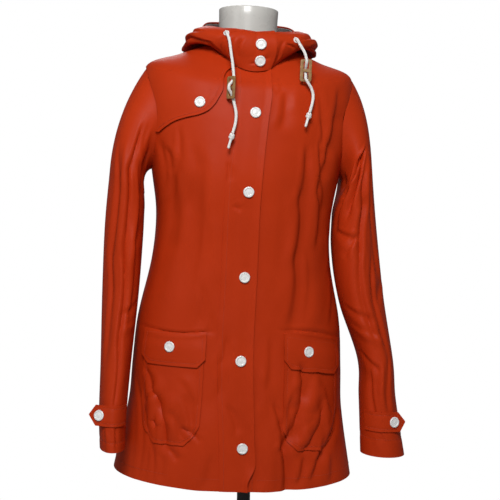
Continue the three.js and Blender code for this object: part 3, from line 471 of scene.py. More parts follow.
BARE_BODY = Surface(bare_at, 0.01, 1, HEM, NECK)


BODY = Surface(body_at, 0.008, 1, HEM, NECK)
PLAIN_BODY = Surface(lambda theta, level: body_at(theta, level, False), 0.01, 1, HEM, NECK)


def theta_at_x(level, x):
    ring = ring_at(level)
    return np.arcsin(np.clip(power(x / ring["width"], ring["square"] / 2), -1, 1))


def front_place(x, z):
    """The body's coordinates at a place seen from the front."""
    x, z = np.broadcast_arrays(np.asarray(x, float), np.asarray(z, float))
    bounds = np.full(x.shape, float(HEM)), np.full(x.shape, float(NECK))
    level = bisect(*bounds, lambda level: body_at(theta_at_x(level, x), level, False)[..., 2] < z)
    return theta_at_x(level, x), level


def edge_theta(level, front):
    """Where a panel ends: the side seam, the armhole or the shoulder seam."""
    level = np.asarray(level, float)
    ring = ring_at(level)
    rise = np.clip((level - UNDERARM) / (SHOULDER - UNDERARM), 0, 1)
    reach = (ARMHOLE_FRONT if front else ARMHOLE_BACK) * np.sin(np.arccos(1 - 2 * rise))
    depth = ring["front" if front else "back"]
    turn = np.arccos((reach / depth) ** (ring["square"] / 2))
    turn = np.where((level <= UNDERARM) | (level >= SHOULDER), math.pi / 2, turn)
    return turn if front else math.pi - turn


def snap_line_at(level):
    return along(SNAP_LINE, "z", np.minimum(level, 1357), "x")


def new_object(name, mesh, slot, material, smooth_angle=55):
    mesh.name = name
    mesh.shade_smooth()
    mesh.set_sharp_from_angle(angle=math.radians(smooth_angle))
    mesh.materials.append(material)
    piece = bpy.data.objects.new(name, mesh)
    bpy.context.scene.collection.objects.link(piece)
    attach(piece, "root")
    return piece


def stand_in(node, *look):
    """A finer piece in a node's place."""
    piece = new_object("fine_" + node, *look)
    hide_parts(node)
    return piece


def mesh_of(points, faces, leans=True):
    """A mesh from millimetre points, in metres, with its faces pointing out."""
    world = to_world(points) if leans else np.asarray(points) * MM
    halves = [(f[0], f[2], f[3]) for f in faces if len(f) == 4]
    triangles = np.array([tuple(f[:3]) for f in faces] + halves)
    a, b, c = (world[triangles[:, i]] for i in range(3))
    if float((a * np.cross(b, c)).sum()) < 0:
        faces = [face[::-1] for face in faces]
    mesh = bpy.data.meshes.new("mesh")
    mesh.from_pydata(world.tolist(), [], faces)
    mesh.update()
    return mesh


def shell_mesh(surface, u, v, lift, thickness, wrap):
    """A thin closed wall over a grid of surface coordinates."""
    middle, normal = surface.at(u, v), surface.normal(u, v)
    outer, inner = middle + normal * (lift + thickness), middle + normal * lift
    index = np.arange(u.size).reshape(u.shape)
    if wrap:
        index = np.hstack([index, index[:, :1]])
    under = index + u.size

    def quads(*corners):
        return np.stack([corner.ravel() for corner in corners], axis=1)

    faces = [
        quads(index[:-1, :-1], index[:-1, 1:], index[1:, 1:], index[1:, :-1]),
        quads(under[:-1, :-1], under[1:, :-1], under[1:, 1:], under[:-1, 1:]),
        quads(index[0, 1:], index[0, :-1], under[0, :-1], under[0, 1:]),
        quads(index[-1, :-1], index[-1, 1:], under[-1, 1:], under[-1, :-1]),
    ]
    if not wrap:
        faces.append(quads(index[:-1, 0], index[1:, 0], under[1:, 0], under[:-1, 0]))
        faces.append(quads(index[1:, -1], index[:-1, -1], under[:-1, -1], under[1:, -1]))
    return mesh_of(np.vstack([outer.reshape(-1, 3), inner.reshape(-1, 3)]), np.vstack(faces).tolist())


def cloth(node, surface, u, v, lift, wrap=False,
          look=None, thickness=WALL):
    """A sheet of cloth over a surface."""
    u, v = np.broadcast_arrays(u, v)
    lift = (np.asarray(lift, float) + 0 * u)[..., None]
    mesh = shell_mesh(surface, u, v, lift, thickness, wrap)
    piece = stand_in(node, mesh, *(look or ("cloth", CLOTH)))


# Materials
def nodes_of(name, **inputs):
    material = bpy.data.materials.new(name)
    material.use_nodes = True
    tree = material.node_tree
    shader = tree.nodes["Principled BSDF"]
    for key, value in inputs.items():
        shader.inputs[key.replace("_", " ")].default_value = value
    return material, tree, shader


def add_node(tree, kind, **values):
    node = tree.nodes.new(kind)
    for key, value in values.items():
        node.inputs[key.replace("_", " ")].default_value = value
    return node


def noise(tree, scale, detail=4, roughness=0.55, stretch=(1, 1, 1)):
    coordinates = add_node(tree, "ShaderNodeTexCoord")
    mapping = add_node(tree, "ShaderNodeMapping", Scale=stretch)
    texture = add_node(tree, "ShaderNodeTexNoise", Scale=scale, Detail=detail, Roughness=roughness)
    tree.links.new(coordinates.outputs["Object"], mapping.inputs["Vector"])
    tree.links.new(mapping.outputs["Vector"], texture.inputs["Vector"])
    return texture.outputs["Fac"]


def ramp(tree, factor, stops):
    """Colours or greys, each at its own place of a noise."""
    node = add_node(tree, "ShaderNodeValToRGB")
    elements = node.color_ramp.elements
    while len(elements) < len(stops):
        elements.new(0.5)
    for element, (place, colour) in zip(elements, stops):
        element.position = place
        element.color = (*(colour if isinstance(colour, tuple) else (colour,) * 3), 1)
    tree.links.new(factor, node.inputs["Fac"])
    return node.outputs["Color"]


def finish(name, colour, rough=None, relief=(), **inputs):
    """A material whose colour and roughness change over its surface, with layers of relief.

    Colour and roughness are a noise and its stops. A relief has a noise, a strength and metres.
    """
    material, tree, shader = nodes_of(name, **inputs)
    for socket, layer in (("Base Color", colour), ("Roughness", rough)):
        if layer:
            tree.links.new(ramp(tree, noise(tree, *layer[0]), layer[1]), shader.inputs[socket])
    last = None
    for texture, strength, distance in relief:
        bump = add_node(tree, "ShaderNodeBump", Strength=strength, Distance=distance)
        tree.links.new(noise(tree, *texture), bump.inputs["Height"])
        if last:
            tree.links.new(last.outputs["Normal"], bump.inputs["Normal"])
        last = bump
    if last:
        tree.links.new(last.outputs["Normal"], shader.inputs["Normal"])
    return material


def coated_cloth():
    return finish(
        "coated_cloth",
        ((9, 5), [(0.3, (0.44, 0.031, 0.0045)), (0.72, (0.50, 0.037, 0.006))]),
        ((26, 6), [(0.3, 0.4), (0.75, 0.52)]),
        [((38, 4), 0.3, 0.0012), ((420, 3), 0.2, 0.0003), ((1500, 2), 0.18, 0.0001)],
        IOR=1.45, Specular_IOR_Level=0.09,
    )


def thread_material():
    colour = (900, 2), [(0.3, (0.36, 0.03, 0.009)), (0.7, (0.56, 0.065, 0.02))]
    return finish("thread", colour, relief=[((2500, 2), 0.4, 0.0001)], Roughness=0.6)


def jersey():
    colour = (700, 5, 0.7, (1, 1, 0.25)), [(0.32, 0.09), (0.5, 0.25), (0.68, 0.48)]
    relief = [((900, 3, 0.6, (1, 1, 0.4)), 0.6, 0.0004)]
    return finish("grey_jersey", colour, relief=relief, Roughness=0.95, Sheen_Weight=0.3)


def white_plastic():
    colour = (60, 3), [(0.3, (0.82, 0.82, 0.80)), (0.8, (0.9, 0.9, 0.885))]
    rough = (200, 3), [(0.3, 0.2), (0.8, 0.32)]
    return finish("white_plastic", colour, rough, IOR=1.5, Coat_Weight=0.3, Coat_Roughness=0.1)


def cord_material():
    colour = (900, 3), [(0.25, (0.66, 0.65, 0.62)), (0.75, (0.9, 0.89, 0.86))]
    relief = [((2200, 2), 0.5, 0.0002)]
    return finish("white_cord", colour, relief=relief, Roughness=0.8, Sheen_Weight=0.25)


def tan_leather():
    colour = (160, 5), [(0.25, (0.2, 0.095, 0.03)), (0.75, (0.4, 0.23, 0.085))]
    rough = (300, 3), [(0.3, 0.42), (0.8, 0.62)]
    return finish("tan_leather", colour, rough, [((700, 4), 0.4, 0.0003)])


def form_gloss():
    colour = (14, 4), [(0.3, (0.56, 0.545, 0.51)), (0.8, (0.62, 0.605, 0.57))]
    rough = (40, 4), [(0.3, 0.25), (0.8, 0.36)]
    relief = [((500, 2), 0.05, 0.0002)]
    return finish("form_gloss", colour, rough, relief, IOR=1.5, Coat_Weight=0.35, Coat_Roughness=0.12)


def black_metal():
    colour = (30, 4), [(0.3, 0.012), (0.8, 0.02)]
    rough = (80, 4), [(0.3, 0.3), (0.8, 0.42)]
    return finish("black_metal", colour, rough, [((1200, 2), 0.12, 0.0001)], Metallic=0.3)


CLOTH = coated_cloth()
THREAD = thread_material()
JERSEY = jersey()
PLASTIC = white_plastic()
WHITE_CORD = cord_material()
LEATHER = tan_leather()
FORM = form_gloss()
METAL = black_metal()


def grid(low, high, count):
    return np.linspace(low, high, count)


def turns_of(count):
    """Even turns of a closed ring."""
    return np.linspace(0, 2 * math.pi, count, endpoint=False)


# Hood
def hood_plain_at(theta, s):
    theta, s = both(theta, s)
    angle = np.abs(np.degrees(theta))
    points = [PLAIN_BODY.out(theta, np.full(theta.shape, float(NECK_SEAM)), HOOD_LIFT)]
    for i in range(1, HOOD_POINTS + 1):
        r = along(HOOD_STATIONS, "angle", angle, f"r{i}")
        z = along(HOOD_STATIONS, "angle", angle, f"z{i}")
        points.append(np.stack([r * np.sin(theta), -r * np.cos(theta), z], axis=-1))
    stack = np.stack([2 * points[0] - points[1], *points, 2 * points[-1] - points[-2]])
    place = np.clip(s, 0, 1) * HOOD_POINTS
    i = np.minimum(np.floor(place).astype(int), HOOD_POINTS - 1)
    pick = [np.take_along_axis(stack, (i + k)[None, ..., None], axis=0)[0] for k in range(4)]
    u = (place - i)[..., None]
    return hermite(pick[1], (pick[2] - pick[0]) / 2, pick[2], (pick[3] - pick[1]) / 2, u)


HOOD_PLAIN = Surface(hood_plain_at, 0.01, 0.01, 0, 1)


def hood_at(theta, s):
    theta, s = both(theta, s)
    degrees = np.degrees(theta)
    depth = crease(HOOD_CREASES, degrees, s, (HOOD_MM_PER_DEGREE, HOOD_MM_PER_SHARE))
    depth = depth + 0.5 * waves(degrees * HOOD_MM_PER_DEGREE, s * HOOD_MM_PER_SHARE, 22, 21)
    ends = smooth(s, 0, 0.12) * (1 - 0.6 * smooth(s, 0.8, 1))
    sides = smooth(180 - np.abs(degrees), 0, 4)
    return HOOD_PLAIN.out(theta, s, depth * ends * sides)


HOOD = Surface(hood_at, 0.008, 0.008, 0, 1)


def hood_lap(theta):
    return -WALL / 2 + (WALL + LAP) * smooth(theta, math.radians(-44), math.radians(-24))


def hood_place(degrees, z):
    """The hood's coordinates at an angle and a height."""
    theta = math.radians(degrees)
    return theta, float(bisect(0.0, 1.0, lambda s: hood_plain_at(theta, s)[2] < z))


def eyelet_base(side):
    degrees, z = EYELETS[side]
    theta, s = hood_place(degrees, z)
    lift = WALL / 2 + EYELET_GAP + (float(hood_lap(theta)) + WALL / 2 if degrees < 0 else 0)
    normal = HOOD_PLAIN.normal(theta, s)
    return hood_plain_at(theta, s) + normal * lift, normal


# Camera: a long lens, a little towards the wearer's right and slightly tilted
LENS = 80
SENSOR = 36
DISTANCE = 2.0
EYE_HEIGHT = 1.131
AZIMUTH = math.radians(-6.5)
PITCH = math.radians(2.4)
ROLL = math.radians(0.65)
SIDESTEP = 0.0068


def camera():
    data = bpy.data.cameras.new("camera")
    data.lens = LENS
    data.sensor_width = SENSOR
    data.clip_end = 50
    eye = bpy.data.objects.new("camera", data)
    bpy.context.scene.collection.objects.link(eye)
    right = Vector((math.cos(AZIMUTH), math.sin(AZIMUTH), 0))
    back = Vector((math.sin(AZIMUTH), -math.cos(AZIMUTH), 0))
    place = back * DISTANCE + right * SIDESTEP + Vector((0, 0, EYE_HEIGHT))
    turn = Matrix.Rotation(AZIMUTH, 4, "Z") @ Matrix.Rotation(math.pi / 2 - PITCH, 4, "X")
    eye.matrix_world = Matrix.Translation(place) @ turn @ Matrix.Rotation(ROLL, 4, "Z")
    bpy.context.scene.camera = eye


def spline(points, count):
    """An evenly stepped centripetal curve through points."""
    points = np.array(points, float)
    padded = np.vstack([2 * points[0] - points[1], points, 2 * points[-1] - points[-2]])
    fine = []
    for i in range(len(points) - 1):
        p0, p1, p2, p3 = padded[i : i + 4]
        t01, t12, t23 = (np.linalg.norm(b - a) ** 0.5 for a, b in ((p0, p1), (p1, p2), (p2, p3)))
        m1 = (p2 - p1) + t12 * ((p1 - p0) / t01 - (p2 - p0) / (t01 + t12))
        m2 = (p2 - p1) + t12 * ((p3 - p2) / t23 - (p3 - p1) / (t12 + t23))
        for u in np.linspace(0, 1, 24, endpoint=False):
            fine.append(hermite(p1, m1, p2, m2, u))
    fine = np.array(fine + [points[-1]])
    length = distances(fine)
    even = np.linspace(0, length[-1], count)
    return np.stack([np.interp(even, length, fine[:, k]) for k in range(3)], axis=1)


def crosswise(axis):
    """A direction square to an axis."""
    return unit(np.cross(axis, (0, 0, 1.0) if abs(axis[2]) < 0.9 else (1.0, 0, 0)))


def sweep(line, radius_at, sides):
    """Rings of a tube along a line, with no twist. radius_at(turn, distance) gives its relief."""
    tangents = unit(np.gradient(line, axis=0))
    across = crosswise(tangents[0])
    turns = np.linspace(0, 2 * math.pi, sides, endpoint=False)
    rings = []
    for point, tangent, distance in zip(line, tangents, distances(line)):
        across = unit(across - tangent * across.dot(tangent))
        circle = np.cos(turns)[:, None] * across + np.sin(turns)[:, None] * np.cross(tangent, across)
        rings.append(point + radius_at(turns, distance)[:, None] * circle)
    return np.array(rings)


def tube_faces(rows, columns, closed=False):
    """Quads between rings, and from the last ring to the first where they close."""
    index = np.arange(rows * columns).reshape(rows, columns)
    if closed:
        index = np.vstack([index, index[:1]])
    beside = np.roll(index, -1, axis=1)
    return np.stack([index[:-1], beside[:-1], beside[1:], index[1:]], axis=-1).reshape(-1, 4).tolist()


def loft_mesh(rings, leans=True):
    """A closed solid through rings of equal counts, with a fan at each end."""
    rings = np.asarray(rings, float)
    rows, columns = rings.shape[:2]
    points = np.vstack([rings.reshape(-1, 3), rings[0].mean(axis=0), rings[-1].mean(axis=0)])
    faces = tube_faces(rows, columns)
    last = rows * columns
    for j in range(columns):
        k = (j + 1) % columns
        faces += [(last, k, j), (last + 1, last - columns + j, last - columns + k)]
    return mesh_of(points, faces, leans)


def turned_rings(profile, sides, base, axis):
    """Rings of a turned piece: radius and height pairs about an axis from a base point."""
    axis = unit(np.array(axis, float))
    across = crosswise(axis)
    turns = np.linspace(0, 2 * math.pi, sides, endpoint=False)
    circle = np.cos(turns)[:, None] * across + np.sin(turns)[:, None] * np.cross(axis, across)
    return np.array([np.array(base) + axis * h + max(r, 1e-3) * circle for r, h in profile])


def cord_line(side):
    base, normal = eyelet_base(side)
    route = [np.array(point, float) for point in CORD_ROUTES[side]]
    centre = np.array(TOGGLES[side], float)
    away = np.array((math.sin(TOGGLE_TURN[side]), -math.cos(TOGGLE_TURN[side]), 0)) * TOGGLE_OVER[side]
    weave = [centre + away * outwards + np.array((0, 0, up)) for up, outwards in TOGGLE_WEAVE]
    above = [point for point in route if point[2] > centre[2]]
    below = [point for point in route if point[2] < centre[2]]
    points = [base + normal * 0.5, base + normal * 3.6, *above, *weave, *below]
    return spline(points, 330)


def braid(turns, distance):
    """Radius of a braided cord: two sets of strands that cross."""
    pitch = 2 * math.pi * distance / 5.2
    strands = np.abs(np.sin(4 * turns + pitch)) + np.abs(np.sin(4 * turns - pitch))
    return CORD / 2 - 0.17 + 0.13 * strands


KNOT_PROFILE = [
    (0.0, 1.6), (0.4, 2.6), (1.4, 3.7), (3, 4.6), (5, 4.9), (7, 4.8), (9, 4.2), (10.4, 3.2),
    (11.6, 2.4), (14, 2.2), (18, 2.1), (22, 2.2), (25.5, 2.1), (26.8, 1.4), (27.4, 0.4),
]


def knot_rings(base, axis):
    """A wrapped overhand knot and the thin tail below it, from heights and radii."""
    turns = np.linspace(0, 2 * math.pi, 40, endpoint=False)
    across = unit(np.cross(axis, (0, 1.0, 0)))
    circle = np.cos(turns)[:, None] * across + np.sin(turns)[:, None] * np.cross(axis, across)
    heights = np.linspace(0, KNOT_PROFILE[-1][0], 90)
    rings = []
    for height, radius in zip(heights, np.interp(heights, *zip(*KNOT_PROFILE))):
        bulk = smooth(radius, 2.6, 4.2)
        wrap = 0.45 * bulk * np.sin(2 * turns + height * 0.9) + 0.12 * np.sin(6 * turns - height * 2.4)
        around = (radius + wrap * min(radius / 2, 1))[:, None]
        rings.append(base + axis * height + around * circle)
    return rings


def rounded(width, height, corner, steps, middle=0):
    """A rectangle with rounded corners, as x and z."""
    loop = []
    for sx, sz, start in ((1, -1, -90), (1, 1, 0), (-1, 1, 90), (-1, -1, 180)):
        for turn in np.radians(np.linspace(start, start + 90, steps)):
            x = sx * (width / 2 - corner) + corner * math.cos(turn)
            loop.append((x, middle + sz * (height / 2 - corner) + corner * math.sin(turn)))
    return loop


def toggle_mesh(side):
    """A flat tab with rounded corners and two slots, its edges softened by a bevel."""
    slot = TOGGLE["slot_width"], TOGGLE["slot_height"], TOGGLE["slot_corner"], 5
    off_middle = (TOGGLE["bar"] + TOGGLE["slot_height"]) / 2
    outline = rounded(TOGGLE["width"], TOGGLE["height"], TOGGLE["corner"], 8)
    build = bmesh.new()
    edges = []
    for loop in (outline, rounded(*slot, off_middle), rounded(*slot, -off_middle)):
        corners = [build.verts.new((x * MM, -TOGGLE["thick"] / 2 * MM, z * MM)) for x, z in loop]
        edges += [build.edges.new((a, b)) for a, b in zip(corners, corners[1:] + corners[:1])]
    filled = bmesh.ops.triangle_fill(build, use_beauty=True, edges=edges)
    faces = [item for item in filled["geom"] if isinstance(item, bmesh.types.BMFace)]
    raised = bmesh.ops.extrude_face_region(build, geom=faces)
    back = [item for item in raised["geom"] if isinstance(item, bmesh.types.BMVert)]
    bmesh.ops.translate(build, verts=back, vec=Vector((0, TOGGLE["thick"] * MM, 0)))
    bmesh.ops.recalc_face_normals(build, faces=build.faces)
    rims = [edge for edge in build.edges if edge.calc_face_angle(0) > math.radians(60)]
    bmesh.ops.bevel(build, geom=rims, offset=0.5 * MM, segments=3, affect="EDGES", profile=0.5)
    turn = Matrix.Rotation(LEAN, 4, "Y") @ Matrix.Rotation(TOGGLE_TURN[side], 4, "Z")
    place = Matrix.Translation(to_world(TOGGLES[side]))
    bmesh.ops.transform(build, verts=build.verts, matrix=place @ turn)
    mesh = bpy.data.meshes.new("mesh")
    build.to_mesh(mesh)
    build.free()
    return mesh


def cords():
    for side in CORD_ROUTES:
        line = cord_line(side)
        piece = stand_in("cord_" + side, loft_mesh(sweep(line, braid, 24)), "cord", WHITE_CORD)
        direction = unit(line[-1] - line[-2])
        knot = knot_rings(line[-1] + direction * KNOT_GAP, direction)
        tip = stand_in("cord_tip_" + side, loft_mesh(knot), "cord", WHITE_CORD)
        toggle = stand_in("toggle_" + side, toggle_mesh(side), "toggle", LEATHER, 30)


# Cloth pieces
CELL = 3.1
RIGHT_GIRTH = 270
LEFT_GIRTH = 330
BACK_GIRTH = 520


def count_for(span):
    return max(2, int(round(span / CELL)) + 1)


def body_levels():
    return grid(HEM, NECK, count_for(NECK - HEM))


def trim(level):
    return SEAM / 2 / ring_at(level)["width"]


def panel_grid(start, stop, count):
    """Rows of places from one edge to the other, a row for each level."""
    return start[:, None] + (stop - start)[:, None] * grid(0, 1, count)


def fronts():
    level = body_levels()
    edge = edge_theta(level, True) - trim(level)
    middle = snap_line_at(level) + PLACKET_RIGHT
    right = panel_grid(-edge, theta_at_x(level, middle - 2 * SEAM), count_for(RIGHT_GIRTH))
    left = panel_grid(theta_at_x(level, middle + SEAM), edge, count_for(LEFT_GIRTH))
    cloth("front_right", BODY, right, level[:, None], 0)
    cloth("front_left", BODY, left, level[:, None], 0)


def back():
    level = body_levels()
    edge = edge_theta(level, False) + trim(level)
    u = panel_grid(edge, 2 * math.pi - edge, count_for(BACK_GIRTH))
    cloth("back", BODY, u, level[:, None], 0)


def edge_relief(distance, inset, depth=0.45, width=2.2):
    """A topstitched edge: a raised rim with a soft trough along the stitches."""
    return -depth * np.exp(-(((distance - inset) / width) ** 2))


def placket():
    """The strip with the snaps, whose loose left edge curls outwards at the bottom."""
    top = NECK_SEAM - 9
    level = grid(HEM, top, count_for(top - HEM))[:, None]
    left = PLACKET_LEFT - 13 * smooth(CURL_TOP - level, 0, 36)
    right = PLACKET_RIGHT - 2.5
    x = right + (left - right) * grid(0, 1, 32)
    near = np.minimum(x - right, left - x)
    lift = WALL + LAP + edge_relief(near, 5, 0.35) - 0.45 * smooth(PLACKET_RIGHT + 4 - x, 0, 5)
    lift = lift + 0.25 * waves(x * 3, level, 24, 31) * smooth(near, 0, 10)
    lift = lift + 2 * smooth(left - x, 12, 0) + 4 * smooth(CURL_TOP - level, 0, 40) * smooth(x, 0, 12)
    u = theta_at_x(level, snap_line_at(level) + x)
    cloth("placket", BODY, u, level, lift)


def storm_flap():
    theta, level = front_place(values_of(STORM_EDGE, "x"), values_of(STORM_EDGE, "z"))
    top = NECK_SEAM - 8
    rows = [{"level": float(b), "theta": float(a)} for a, b in zip(theta[::-1], level[::-1])]
    rows.append({"level": max(top, rows[-1]["level"] + 1), "theta": rows[-1]["theta"] * 1.03})
    levels = grid(rows[0]["level"], top, 90)
    inner = along(rows, "level", levels, "theta")
    outer = -edge_theta(levels, True) + 2.5 / ring_at(levels)["width"]
    u = panel_grid(np.minimum(outer, inner - 0.02), inner, 64)
    near = np.minimum((inner[:, None] - u) * 110, (levels - levels[0])[:, None] * 1.2)
    lift = WALL + LAP + 0.4 + edge_relief(near, 5) + 1.6 * smooth(14 - near, 0, 14)
    cloth("storm_flap", BODY, u, levels[:, None], lift)


def sag_at(side, x, z):
    """How far a patch hangs below its rows: more and more towards the side seam on the left."""
    high = smooth(z, 760, 860)
    return np.where(side < 0, 8 * high, 4 + (3 + 12 * high) * (x - 66) / 100)


def row_height(theta, level):
    """The height in a patch's own rows of a place on the body."""
    return level + sag_at(np.sin(theta), 183 * np.abs(np.sin(theta)) ** 0.87, level + 5)


def patch_grid(rows, side, across, down):
    """Places on a patch, where they are on the body, and how far they are from its edge."""
    z = grid(rows[0]["z"], rows[-1]["z"], down)[:, None]
    inner, outer = (np.interp(z, values_of(rows, "z"), values_of(rows, key)) for key in ("inner", "outer"))
    out = inner + (outer - inner) * grid(0, 1, across)
    u, v = front_place(side * out, z - sag_at(side, out, z))
    near = np.minimum((out - inner) * 1.2, (outer - out) * 1.35)
    return side * out, z, u, v, np.minimum(near, z - rows[0]["z"])


def pocket_lift(theta, level):
    z = row_height(theta, level)
    height = smooth(z, 716, 775) * (1 - smooth(z, 790, 868))
    edge = np.abs(np.sin(theta))
    across = smooth(edge, 0.34, 0.55) * (1 - smooth(edge, 0.72, 0.88))
    return WALL + LAP + POCKET_BULGE * height * across


def flap_lift(theta, level):
    return lerp(WALL + LAP, FLAP_LIFT, 1 - smooth(row_height(theta, level), 884, 914))


POCKET_CREASES = rows_of(
    CREASE_COLUMNS,
    (84, 742, 96, 800, 6, -2.4), (100, 730, 120, 770, 6, -2), (150, 742, 138, 806, 6, -2.4),
    (160, 770, 140, 830, 6, 1.8), (76, 790, 100, 840, 7, 1.6), (118, 724, 116, 800, 8, 1.6),
)


def pockets():
    for name, side in SIDES.items():
        x, z, u, v, near = patch_grid(POCKET_ROWS, side, 50, 58)
        wrinkle = crease(POCKET_CREASES, np.abs(x) + (4 if side > 0 else 0), z)
        wrinkle = wrinkle + 0.35 * waves(x, z, 22, 40 + side)
        lift = pocket_lift(u, v) + edge_relief(near, 6, 0.5) + smooth(near, 2, 12) * wrinkle + 0.3
        cloth("pocket_" + name, BODY, u, v, lift)
        x, z, u, v, near = patch_grid(FLAP_ROWS, side, 50, 28)
        uneven = 0.5 * waves(x, z, 30, 50 + side) * smooth(916 - z, 0, 20)
        lift = flap_lift(u, v) + edge_relief(near, 6, 0.5) + uneven + 0.6
        cloth("pocket_flap_" + name, BODY, u, v, lift)


# Sleeves
def loop_at(side, turn):
    """A place on the armhole's loop, and the way out of the cloth there."""
    level = lerp(UNDERARM, SHOULDER, (1 + np.cos(turn)) / 2)
    theta = side * np.where(np.sin(turn) > 0, edge_theta(level, True), edge_theta(level, False))
    return PLAIN_BODY.out(theta, level, WALL / 2), PLAIN_BODY.normal(theta, level)


def sleeve_start(side, turn):
    """Where the sleeve meets the armhole, worked out once for each different turn."""
    turns, place = np.unique(turn, return_inverse=True)
    return armhole_edge(side, turns)[place.reshape(turn.shape)]


def armhole_edge(side, turn):
    point, normal = loop_at(side, turn)
    centre = np.array((side * 170, 0, (UNDERARM + SHOULDER) / 2))
    tangent = loop_at(side, turn + 0.02)[0] - loop_at(side, turn - 0.02)[0]
    inwards = unit(np.cross(tangent, normal))
    wrong = (inwards * (centre - point)).sum(axis=-1, keepdims=True) < 0
    return point + np.where(wrong, -inwards, inwards) * (WALL / 2 + LAP)


def section_at(rows, side, turn, v):
    column = interpolate(rows, "v", v, ("x", "y", "z", "wide", "deep", "tilt"))
    x = column["x"] + column["wide"] * np.cos(turn)
    y = column["y"] - column["deep"] * np.sin(turn)
    z = column["z"] + column["tilt"] * np.cos(turn)
    return np.stack([side * x, y, z], axis=-1)


def half_width_at(y, z):
    ring = ring_at(np.clip(z, HEM, UNDERARM))
    depth = np.where(y < 0, ring["front"], ring["back"])
    cos = np.clip(np.abs(y) / depth, 0, 1) ** (ring["square"] / 2)
    return ring["width"] * np.sqrt(1 - cos * cos) ** (2 / ring["square"])


def turn_between(turn, degrees):
    return np.abs((turn - math.radians(degrees) + math.pi) % (2 * math.pi) - math.pi)


def sleeve_cap(rows, side, turn, v):
    start = sleeve_start(side, turn)
    end = section_at(rows, side, turn, np.zeros(turn.shape))
    low = (1 - np.cos(turn)) / 2
    leave = unit(np.stack([side * (0.56 + 0.39 * low), 0 * low, 0.49 * low - 0.82], axis=-1))
    arrive = unit(section_at(rows, side, turn, np.full(turn.shape, 0.1)) - end)
    reach = np.linalg.norm(start - end, axis=-1, keepdims=True)
    return hermite(start, leave * reach, end, arrive * reach, np.clip(v + 1, 0, 1)[..., None])


def sleeve_plain(rows, side, turn, v):
    turn, v = both(turn, v)
    point = section_at(rows, side, turn, np.maximum(v, 0))
    if (v < 0).any():
        point = np.where((v >= 0)[..., None], point, sleeve_cap(rows, side, turn, v))
    fold = 0
    for row in SLEEVE_FOLDS:
        away = turn_between(turn, row["angle"]) / math.radians(row["width"])
        span = smooth(v, row["start"], row["start"] + 0.6) * (1 - smooth(v, row["stop"] - 0.6, row["stop"]))
        fold = fold + row["depth"] * span * np.exp(-(away**2))
    point = point + np.stack([side * fold * np.cos(turn), -fold * np.sin(turn), 0 * turn], axis=-1)
    short = half_width_at(point[..., 1], point[..., 2]) + SLEEVE_CLEAR - side * point[..., 0]
    push = np.where(short > SOFT, short, np.clip(short + SOFT, 0, None) ** 2 / (4 * SOFT))
    point[..., 0] += side * np.where(point[..., 2] < UNDERARM - 4, push, 0)
    return point


def sleeve_height(rows, v):
    """A height for placing creases: the section's own, or its share of the cap above."""
    lower = along(rows, "v", np.maximum(v, 0), "z")
    return np.where(v >= 0, lower, lerp(SLEEVE_TOP, rows[0]["z"], np.clip(v + 1, 0, 1)))


def sleeve_surfaces(name):
    """A sleeve without its creases and with them."""
    side, rows = SIDES[name], SLEEVE_ROWS[name]
    plain = Surface(lambda turn, v: sleeve_plain(rows, side, side * np.asarray(turn), v), 0.03, 0.02, -1, 5)

    def fine_at(turn, v):
        turn, v = both(turn, v)
        turned = side * turn % (2 * math.pi)
        z = sleeve_height(rows, v)
        depth = crease(SLEEVE_CREASES[name], np.degrees(turned), z, (SLEEVE_MM_PER_DEGREE, 1))
        around = SLEEVE_RADIUS * (np.sin(turned) + 0.3 * np.cos(turned))
        depth = depth + 0.45 * waves(around, z, 26, 60 + side)
        depth = depth * smooth(v, -1, -0.75) * (1 - 0.75 * smooth(v, 4.3, 5))
        inner = np.exp(-((turn_between(turned, 180) / 0.9) ** 2)) * (v > -0.3)
        return plain.out(turn, v, depth * (1 - 0.8 * inner))

    return plain, Surface(fine_at, 0.03, 0.02, -1, 5)


SLEEVES = {name: sleeve_surfaces(name) for name in ("right", "left")}


def sleeves():
    v = np.concatenate([grid(-1, 0, 56)[:-1], grid(0, 5, 150)])[:, None]
    hem = 0.6 * np.exp(-(((5 - v) * 70 - 22) / 3) ** 2)
    for name, (_, surface) in SLEEVES.items():
        cloth("sleeve_" + name, surface, turns_of(104), v, -WALL / 2 - hem, wrap=True)


def tab_surface(tab, plain):
    """A cuff tab, which lies on its sleeve up to 1 and goes straight on to its tip at 2."""
    side = SIDES[tab["name"]]
    lift = WALL / 2 + LAP

    def v_at(z):
        heights, place = np.unique(z, return_inverse=True)
        bounds = np.full(heights.shape, 3.0), np.full(heights.shape, 5.0)
        found = bisect(*bounds, lambda v: plain.at(np.zeros(v.shape), v)[..., 2] > heights)
        return found[place.reshape(np.shape(z))]

    def at(u, z):
        u, z = both(u, z)
        v = v_at(z)
        on = plain.out(side * np.radians(lerp(tab["start"], tab["leave"], np.clip(u, 0, 1))), v, lift)
        leave, before = (side * math.radians(tab["leave"] + more) + 0 * u for more in (0, 3))
        last, before = plain.out(leave, v, lift), plain.out(before, v, lift)
        past = last + unit(last - before) * ((u - 1) * tab["free"])[..., None]
        return np.where((u > 1)[..., None], past, on)

    return Surface(at, 0.01, 1, tab["z"] - TAB_HEIGHT, tab["z"] + TAB_HEIGHT, side)


TABS = {tab["name"]: tab_surface(tab, SLEEVES[tab["name"]][0]) for tab in CUFF_TABS}


